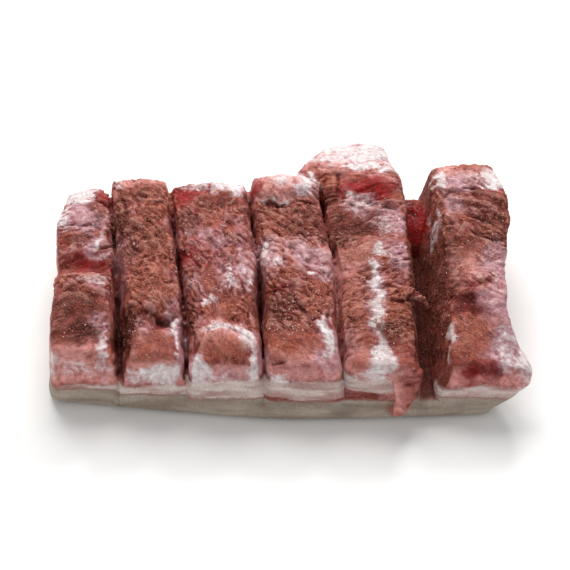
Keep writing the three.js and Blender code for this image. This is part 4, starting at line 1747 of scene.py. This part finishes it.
@dataclass(frozen=True)
class MeatFinish:
    """Lean meat, fat, membranes and rind, with the rub that clings to them."""

    ATTRIBUTES: ClassVar[dict[str, tuple[Layer | str, ...]]] = {
        "flesh": (Layer.FAT, Layer.SHEEN_MEMBRANE, Layer.RED, Layer.PINK),
        # Rub, painted shade and rind
        "rub_shade_and_rind": (Layer.TAN, Layer.BROWN, Layer.PAINTED_SHADE, Layer.RIND),
        "marks": ("dust", "hollow", "fibre", "band"),
    }
    GRAIN: ClassVar[str] = "grain"

    # Patterns
    broad: Pattern = Pattern(6.0, 2.0)
    middle: Pattern = Pattern(2.2, 3.0, 0.6)
    fine: Pattern = Pattern(0.8, 2.0, 0.65)
    grit: Pattern = Pattern(1.5, 2.0, 0.6)
    threads: Pattern = Pattern(1.1, 3.0, 0.6, (0.16, 1.0, 0.5))
    ripples: Pattern = Pattern(2.6, 3.0, 0.6, (0.55, 1.0, 0.8))
    wrinkles: Pattern = Pattern(1.7, 2.0, 0.5, (0.5, 1.0, 0.8))
    layered: Pattern = Pattern(5.0, 3.0, 0.5, (0.25, 0.25, 1.3))
    rind_stripes: Pattern = Pattern(6.0, 2.0, 0.5, (0.3, 0.3, 1.6))
    # Where the meat grows smoother towards the front and the back, in millimetres
    calm_front: Span = (-44, -57)
    calm_back: Span = (56, 68)
    # Tissues
    lean: Colour = srgb(110, 42, 38)
    pale_lean: Colour = srgb(170, 96, 86)
    pink: Tissue = Tissue(srgb(238, 172, 163), srgb(196, 124, 116), 0.9)
    red: Tissue = Tissue(srgb(156, 12, 8), srgb(104, 10, 8), 0.96)
    # The membrane's lilac stands partly for painted sheen of the wet meat
    sheen_membrane: Tissue = Tissue(srgb(206, 164, 171), srgb(154, 97, 104), 0.82)
    fat: Tissue = Tissue(srgb(236, 232, 231), srgb(200, 172, 170), 0.95)
    # Rub, the pale crust of painted highlights on ridges and flakes, and the colour of painted shade
    light_rub: Rub = Rub(srgb(181, 102, 79), srgb(128, 55, 42))
    dark_rub: Rub = Rub(srgb(120, 55, 41), srgb(82, 29, 20))
    crust_highlight: Colour = srgb(216, 150, 131)
    ruddy: Colour = srgb(154, 70, 58)
    shade_colour: Colour = srgb(66, 17, 14)
    # Outer faces
    rind: Colour = srgb(175, 161, 148)
    deep_rind: Colour = srgb(146, 128, 113)
    seam: Colour = srgb(148, 108, 98)
    band_fat: Colour = srgb(222, 208, 202)
    band_shade: Colour = srgb(186, 152, 146)
    # How fully each thing hides what lies below it
    rub_hiding: float = 0.92
    moist_rub_hiding: float = 0.45
    # The next five paint shade into hollows and highlights onto ridges and flakes
    shade_hiding: float = 0.85
    hollow_shade_hiding: float = 0.68
    ridge_highlight_hiding: float = 0.3
    crust_ridge_highlight_hiding: float = 0.45
    flake_highlight_hiding: float = 0.28
    band_hiding: float = 0.85
    seam_hiding: float = 0.7
    # Shine, the light that goes into the meat, and the depths of the bumps in millimetres
    specular: float = 0.10
    coat_roughness: float = 0.18
    inner_light: float = 0.18
    inner_radius: tuple[float, float, float] = (1.0, 0.36, 0.26)
    inner_reach: float = 2.2
    coarse_bump: float = 0.8
    fine_bump: float = 0.4

    def _channels(self, g: Graph, name: str) -> dict[Layer | str, Sock]:
        """Reads one colour attribute as four separate fields.

        Args:
            g: Node tree of the material.
            name: Name of the attribute.

        Returns:
            The fields by name.
        """
        colour = g.attribute(name, "Color")
        alpha = Sock(g, colour.socket.node.outputs["Alpha"])
        split = g.node("ShaderNodeSeparateColor", inputs={0: colour})
        parts = [Sock(g, split.socket.node.outputs[number]) for number in range(3)]
        return dict(zip(self.ATTRIBUTES[name], (*parts, alpha)))

    def _weave(self, g: Graph, of: Mapping[Layer | str, Sock]) -> Weave:
        """Makes the patterns that the layers are mixed by.

        Args:
            g: Node tree of the material.
            of: Fields of the dressing.

        Returns:
            The patterns.
        """
        grain = g.attribute(self.GRAIN, "Vector")
        middle, fine, threads = g.noise(self.middle), g.noise(self.fine), g.noise(self.threads, grain)
        y = g.node("ShaderNodeSeparateXYZ", inputs={0: g.place()}, output="Y")
        calm_front, calm_back = ((start * MM, end * MM) for start, end in (self.calm_front, self.calm_back))
        calm = g.step(y, *calm_front) + g.step(y, *calm_back)
        lively = 1 - calm * 0.45
        ripple = g.noise(self.ripples, grain) - 0.5
        wrinkle = g.noise(self.wrinkles, grain) - 0.5
        flakes = g.step(wrinkle * wrinkle, 0.003, 0.0) * g.step(fine, 0.4, 0.6)
        return Weave(
            broad=g.noise(self.broad),
            middle=middle,
            fine=fine,
            grit=g.noise(self.grit),
            threads=threads,
            cracks=g.step(ripple * ripple, 0.002, 0.0),
            flakes=flakes * of["dust"] * lively,
            fray=((middle - 0.5) * 0.55 + (threads - 0.5) * 0.15 + (of["fibre"] - 0.5) * 0.3) * lively,
            calm=calm,
            lively=lively,
        )

    def _flesh(self, g: Graph, of: Mapping[Layer | str, Sock], weave: Weave) -> Sock:
        """Lays the tissues over each other, without rub.

        Args:
            g: Node tree of the material.
            of: Fields of the dressing.
            weave: Patterns of the meat.

        Returns:
            The colour of the bare meat.
        """
        broad, middle, threads = weave.broad, weave.middle, weave.threads
        clumps = (middle - 0.5) * 0.7 * weave.lively + (broad - 0.5) * (0.3 + weave.calm * 0.6)
        uneven = g.step(middle * 0.6 + threads * 0.15 + of["fibre"] * 0.3, 0.3, 0.75)
        lean = g.step(broad * 0.4 + middle * 0.3 + threads * 0.3, 0.35, 0.66)
        colour = g.mix(lean, self.lean, self.pale_lean)
        for tissue, cover in (
            (self.pink, of[Layer.PINK]),
            (self.red, of[Layer.RED]),
            (self.sheen_membrane, of[Layer.SHEEN_MEMBRANE]),
            (self.fat, of[Layer.FAT] * 1.3 - 0.2 + clumps),
        ):
            mottled = g.mix(uneven, tissue.deep, tissue.pale)
            colour = g.mix(g.step(cover + weave.fray, 0.05, 0.95) * tissue.hiding, colour, mottled)
        return colour

    def _rubbed(self, g: Graph, of: Mapping[Layer | str, Sock], weave: Weave, colour: Sock) -> Sock:
        """Lets rub cling to the meat.

        Args:
            g: Node tree of the material.
            of: Fields of the dressing.
            weave: Patterns of the meat.
            colour: Colour of the bare meat.

        Returns:
            The colour with rub.
        """
        broad, middle, fine = weave.broad, weave.middle, weave.fine
        specks = (fine * 0.4 + weave.grit * 0.3 - 0.35) * weave.lively + broad * 0.3
        speckled = g.step(specks, 0.06, 0.25)
        light, dark = (g.mix(speckled, rub.dark, rub.light) for rub in (self.light_rub, self.dark_rub))
        heavy = g.step(of[Layer.BROWN] - of[Layer.TAN] * 0.4 + (middle - 0.5) * 0.8, 0.15, 0.75)
        cling = g.step(of["dust"] + (middle - 0.5) * 0.6 + (fine - 0.5) * 0.6, 0.2, 0.9)
        colour = g.mix(cling * self.rub_hiding, colour, g.mix(heavy, light, dark))
        moist = g.step(broad * 0.6 + weave.threads * 0.4, 0.48, 0.62)
        return g.mix(cling * moist * self.moist_rub_hiding, colour, self.ruddy)

    def _shaded(self, g: Graph, of: Mapping[Layer | str, Sock], weave: Weave, colour: Sock) -> Sock:
        """Paints shade into hollows and highlights onto ridges and flakes.

        Args:
            g: Node tree of the material.
            of: Fields of the dressing.
            weave: Patterns of the meat.
            colour: Colour of the meat with its rub.

        Returns:
            The shaded colour.
        """
        hollow = g.step(of["hollow"], 0.44, 0.95)
        ridge_light = g.step(of["hollow"], 0.38, 0.08)
        painted_shade = g.step(of[Layer.PAINTED_SHADE] + weave.fray * 0.6, 0.2, 0.9)
        # Painted shade, then painted highlights: pale flesh on bare ridges, pale crust on rubbed ridges and
        # flakes
        tones = (
            (painted_shade * self.shade_hiding, self.shade_colour),
            (hollow * (1 - of[Layer.FAT] * 0.6) * self.hollow_shade_hiding, self.shade_colour),
            (ridge_light * (1 - of["dust"]) * (1 - of[Layer.RED]) * self.ridge_highlight_hiding, self.fat.deep),
            (ridge_light * of["dust"] * self.crust_ridge_highlight_hiding, self.crust_highlight),
            (weave.flakes * (1 - of[Layer.PAINTED_SHADE]) * self.flake_highlight_hiding, self.crust_highlight),
        )
        for share, tone in tones:
            colour = g.mix(share, colour, tone)
        return colour

    def _edged(self, g: Graph, of: Mapping[Layer | str, Sock], colour: Sock) -> Sock:
        """Adds the layered fat and the rind of the outer faces.

        Args:
            g: Node tree of the material.
            of: Fields of the dressing.
            colour: Colour of the meat.

        Returns:
            The colour of the whole slab.
        """
        layered = g.noise(self.layered)
        pale = g.mix(g.step(layered, 0.35, 0.65), self.band_shade, self.band_fat)
        banded = g.step(of["band"] + (layered - 0.5) * 0.9, 0.15, 0.85)
        colour = g.mix(banded * self.band_hiding, colour, pale)
        colour = g.mix(g.step(of[Layer.RIND], 0.0, 0.35) * self.seam_hiding, colour, self.seam)
        skin = g.mix(g.step(g.noise(self.rind_stripes), 0.3, 0.75), self.rind, self.deep_rind)
        return g.mix(g.step(of[Layer.RIND], 0.35, 0.9), colour, skin)

    def make(self) -> bpy.types.Material:
        """Builds the material.

        Returns:
            The material of the slab.
        """
        g = Graph("raw_pork")
        of: dict[Layer | str, Sock] = {}
        for name in self.ATTRIBUTES:
            of.update(self._channels(g, name))
        weave = self._weave(g, of)
        middle, fine, threads, cracks = weave.middle, weave.fine, weave.threads, weave.cracks
        colour = self._flesh(g, of, weave)
        colour = self._rubbed(g, of, weave, colour)
        colour = self._shaded(g, of, weave, colour)
        colour = self._edged(g, of, colour)
        # Painted shade along the fine cracks, stronger where rub lies
        crack_shade = cracks * (0.1 + of["dust"] * 0.32) * weave.lively
        bare = of[Layer.SHEEN_MEMBRANE] + of[Layer.FAT] * 0.4 + of[Layer.RED] * 0.3 + of[Layer.PINK] * 0.4
        wet = g.step(bare - of["dust"] * 0.4 - of[Layer.PAINTED_SHADE] * 0.5 + weave.fray, 0.05, 0.95)
        glints = g.step(fine * 0.6 + middle * 0.4, 0.5, 0.64)
        forms = middle * 0.7 + threads * 0.2 - cracks * 0.3 + weave.flakes * 0.3
        coarse = g.bump(forms, self.coarse_bump, 0.7)
        grainy = (0.4 + of["dust"] * 0.6) * weave.lively
        return g.finish(
            {
                "Base Color": g.darken(colour, 0.71 + fine * 0.52 + threads * 0.08 - crack_shade),
                "Roughness": 0.52 - wet * 0.2 + of["dust"] * 0.16 + (fine - 0.5) * 0.3,
                "Specular IOR Level": self.specular,
                "Coat Weight": wet * (0.02 + glints * 0.8) * (1 - of[Layer.RIND]),
                "Coat Roughness": self.coat_roughness,
                "Subsurface Weight": self.inner_light,
                "Subsurface Radius": self.inner_radius,
                "Subsurface Scale": self.inner_reach * MM,
                "Normal": g.bump(fine * 0.7 + weave.grit * 0.5, self.fine_bump, grainy, coarse),
            }
        )


@dataclass(frozen=True)
class CrumbFinish:
    """Dry spice powder in crumbs of uneven brown."""

    name: str = "spice_rub"
    light: Colour = srgb(200, 131, 107)
    middle: Colour = srgb(156, 88, 69)
    dark: Colour = srgb(114, 58, 44)
    mottle: Pattern = Pattern(0.5)
    pits: Pattern = Pattern(0.35)
    roughness: float = 0.75

    def make(self) -> bpy.types.Material:
        """Builds the material.

        Returns:
            The material of the crumbs.
        """
        g = Graph(self.name)
        stops = ((0.0, self.dark), (0.45, self.middle), (1.0, self.light))
        colour = g.node("ShaderNodeValToRGB", {"stops": stops}, {0: g.attribute(Scatter.TONE, "Fac")})
        colour = g.darken(colour, 0.75 + g.noise(self.mottle) * 0.5)
        normal = g.bump(g.noise(self.pits), 0.25, 0.6)
        return g.finish({"Base Color": colour, "Roughness": self.roughness, "Normal": normal})


@dataclass(frozen=True)
class SaltFinish:
    """Pale moist salt grains."""

    name: str = "salt"
    pale: Colour = srgb(238, 208, 198)
    pink: Colour = srgb(208, 150, 138)
    mottle: Pattern = Pattern(0.6)
    roughness: float = 0.22

    def make(self) -> bpy.types.Material:
        """Builds the material.

        Returns:
            The material of the salt.
        """
        g = Graph(self.name)
        colour = g.mix(g.attribute(Scatter.TONE, "Fac"), self.pale, self.pink)
        return g.finish(
            {
                "Base Color": g.darken(colour, 0.8 + g.noise(self.mottle) * 0.3),
                "Roughness": self.roughness,
                "Subsurface Weight": 0.2,
                "Subsurface Scale": MM,
            }
        )


# ---------------------------------------------------------------------------------------------------------
# The studio
# ---------------------------------------------------------------------------------------------------------


@dataclass(frozen=True)
class Softbox:
    """A square light that faces the slab, by its place and side in metres, its watts and linear colour."""

    name: str
    place: tuple[float, float, float]
    side: float
    watts: float
    colour: tuple[float, float, float]


@dataclass
class Studio:
    """Camera, floor and soft light, all in metres."""

    SOFTBOXES: ClassVar[tuple[Softbox, ...]] = (
        Softbox("back softbox", (-0.15, 0.75, 0.95), 0.9, 15.0, (1.0, 0.985, 0.97)),
        Softbox("window", (0.35, 0.85, 0.70), 0.22, 4.5, (0.93, 0.96, 1.0)),
        Softbox("front softbox", (0.10, -1.30, 0.45), 1.0, 2.3, (1.0, 0.99, 0.98)),
    )

    target: Vector = field(default_factory=lambda: Vector((0.0075, 0.0, 0.020)))
    distance: float = 1.1
    elevation: float = math.radians(45)
    lens: float = 138.9
    sensor: float = 36.0
    floor_size: float = 8.0
    floor_colour: Colour = srgb(250, 249, 247)
    floor_roughness: float = 0.9
    sky_colour: Colour = (0.96, 0.98, 1.0, 1.0)
    sky: float = 0.475

    def _camera(self) -> None:
        """Looks down at the slab from the front."""
        data = bpy.data.cameras.new("camera")
        data.lens, data.sensor_width = self.lens, self.sensor
        camera = bpy.data.objects.new("camera", data)
        bpy.context.scene.collection.objects.link(camera)
        back = Vector((0, -math.cos(self.elevation), math.sin(self.elevation)))
        camera.location = self.target + back * self.distance
        camera.rotation_euler = (math.pi / 2 - self.elevation, 0, 0)
        bpy.context.scene.camera = camera

    def _floor(self) -> None:
        """Lays the pale floor."""
        half = self.floor_size / 2
        mesh = bpy.data.meshes.new("floor")
        corners = [(-half, -half, 0), (half, -half, 0), (half, half, 0), (-half, half, 0)]
        mesh.from_pydata(corners, [], [(0, 1, 2, 3)])
        floor = bpy.data.objects.new("floor", mesh)
        bpy.context.scene.collection.objects.link(floor)
        finish = {"Base Color": self.floor_colour, "Roughness": self.floor_roughness}
        mesh.materials.append(Graph("floor").finish(finish))

    def _hang(self, softbox: Softbox) -> None:
        """Hangs a softbox and turns it to the slab."""
        data = bpy.data.lights.new(softbox.name, "AREA")
        data.energy, data.size, data.color = softbox.watts, softbox.side, softbox.colour
        light = bpy.data.objects.new(softbox.name, data)
        bpy.context.scene.collection.objects.link(light)
        light.location = softbox.place
        light.rotation_euler = (Vector(softbox.place) - self.target).to_track_quat("Z", "Y").to_euler()

    def build(self) -> None:
        """Sets up camera, floor, lights and sky."""
        self._camera()
        self._floor()
        for softbox in self.SOFTBOXES:
            self._hang(softbox)
        world = bpy.data.worlds.new("sky")
        world.use_nodes = True
        background = world.node_tree.nodes["Background"]
        background.inputs["Color"].default_value = self.sky_colour
        background.inputs["Strength"].default_value = self.sky
        scene = bpy.context.scene
        scene.world = world
        scene.view_settings.view_transform = "Standard"


# ---------------------------------------------------------------------------------------------------------
# Everything together
# ---------------------------------------------------------------------------------------------------------


@dataclass
class PorkBelly:
    """The slab with its crumbs and salt."""

    # Chance of a grain outside the places where grains are meant to lie, so that no weight is zero.
    STRAY: ClassVar[float] = 1e-6

    node: bpy.types.Object
    terrain: Terrain = field(default_factory=Terrain)
    crumbs: Scatter = field(
        default_factory=lambda: Scatter("rub_crumbs", "spice_rub", 12_000, (0.4, 1.3), 0.5, 11, 0.5)
    )
    salt: Scatter = field(
        default_factory=lambda: Scatter("salt_grains", "salt", 1_700, (0.25, 1.1), 0.5, 12)
    )
    crumbs_from: Span = (8, 28)
    crumbs_behind: Span = (-66, -44)
    salt_from: Span = (12, 16)

    def _add_crumbs(self, slab: bpy.types.Object) -> bpy.types.Object:
        """Heaps loose crumbs where the rub lies thick.

        Args:
            slab: Piece that they lie on.

        Returns:
            The crumbs.
        """
        points, normals = surface_of(slab.data)
        dust, tan, brown = (field_of(slab.data, name) for name in ("dust", Layer.TAN, Layer.BROWN))
        heaps = self.terrain.uneven(self.terrain.textures.heaps, points)
        clumped = at_least(0.2, smoothstep(-0.4, 0.5, heaps))
        level = smoothstep(0.2, 0.9, normals[:, 2]) * smoothstep(*self.crumbs_from, points[:, 2])
        level *= smoothstep(*self.crumbs_behind, points[:, 1])
        heaped = dust * (0.05 + 0.4 * tan + brown) * clumped * at_least(0.06, level) + self.STRAY
        crumbs = self.crumbs.build(slab, heaped, 0.42 + 0.22 * tan - 0.3 * brown)
        crumbs.data.materials.append(CrumbFinish().make())
        return crumbs

    def _add_salt(self, slab: bpy.types.Object) -> bpy.types.Object:
        """Strews salt on the faces that look up.

        Args:
            slab: Piece that it lies on.

        Returns:
            The salt.
        """
        points, normals = surface_of(slab.data)
        upwards = smoothstep(0.2, 0.8, normals[:, 2]) * smoothstep(*self.salt_from, points[:, 2])
        together = np.maximum.reduce([patch.cover(points) for patch in SALT])
        chance = upwards * (0.04 + together) + self.STRAY
        salt = self.salt.build(slab, chance, np.full(len(points), 0.5))
        salt.data.materials.append(SaltFinish().make())
        return salt

    def build(self) -> list[bpy.types.Object]:
        """Builds and dresses all pieces.

        Returns:
            The pieces.
        """
        slab = SlabSkin(self.node, self.terrain).build()
        slab.data.materials.clear()
        slab.data.materials.append(MeatFinish().make())
        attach(slab, BODY)
        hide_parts(NODE)
        crumbs, salt = self._add_crumbs(slab), self._add_salt(slab)
        for piece, scatter in ((crumbs, self.crumbs), (salt, self.salt)):
            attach(piece, BODY)
        return [slab, crumbs, salt]


def main() -> None:
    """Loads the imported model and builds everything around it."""
    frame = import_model()
    Studio().build()
    for piece in PorkBelly(frame["nodes"][NODE]).build():
        log.info("%s: %d faces", piece.name, len(piece.data.polygons))


if __name__ == "__main__":
    logging.basicConfig(level=logging.INFO, format="%(name)s: %(message)s")
    main()
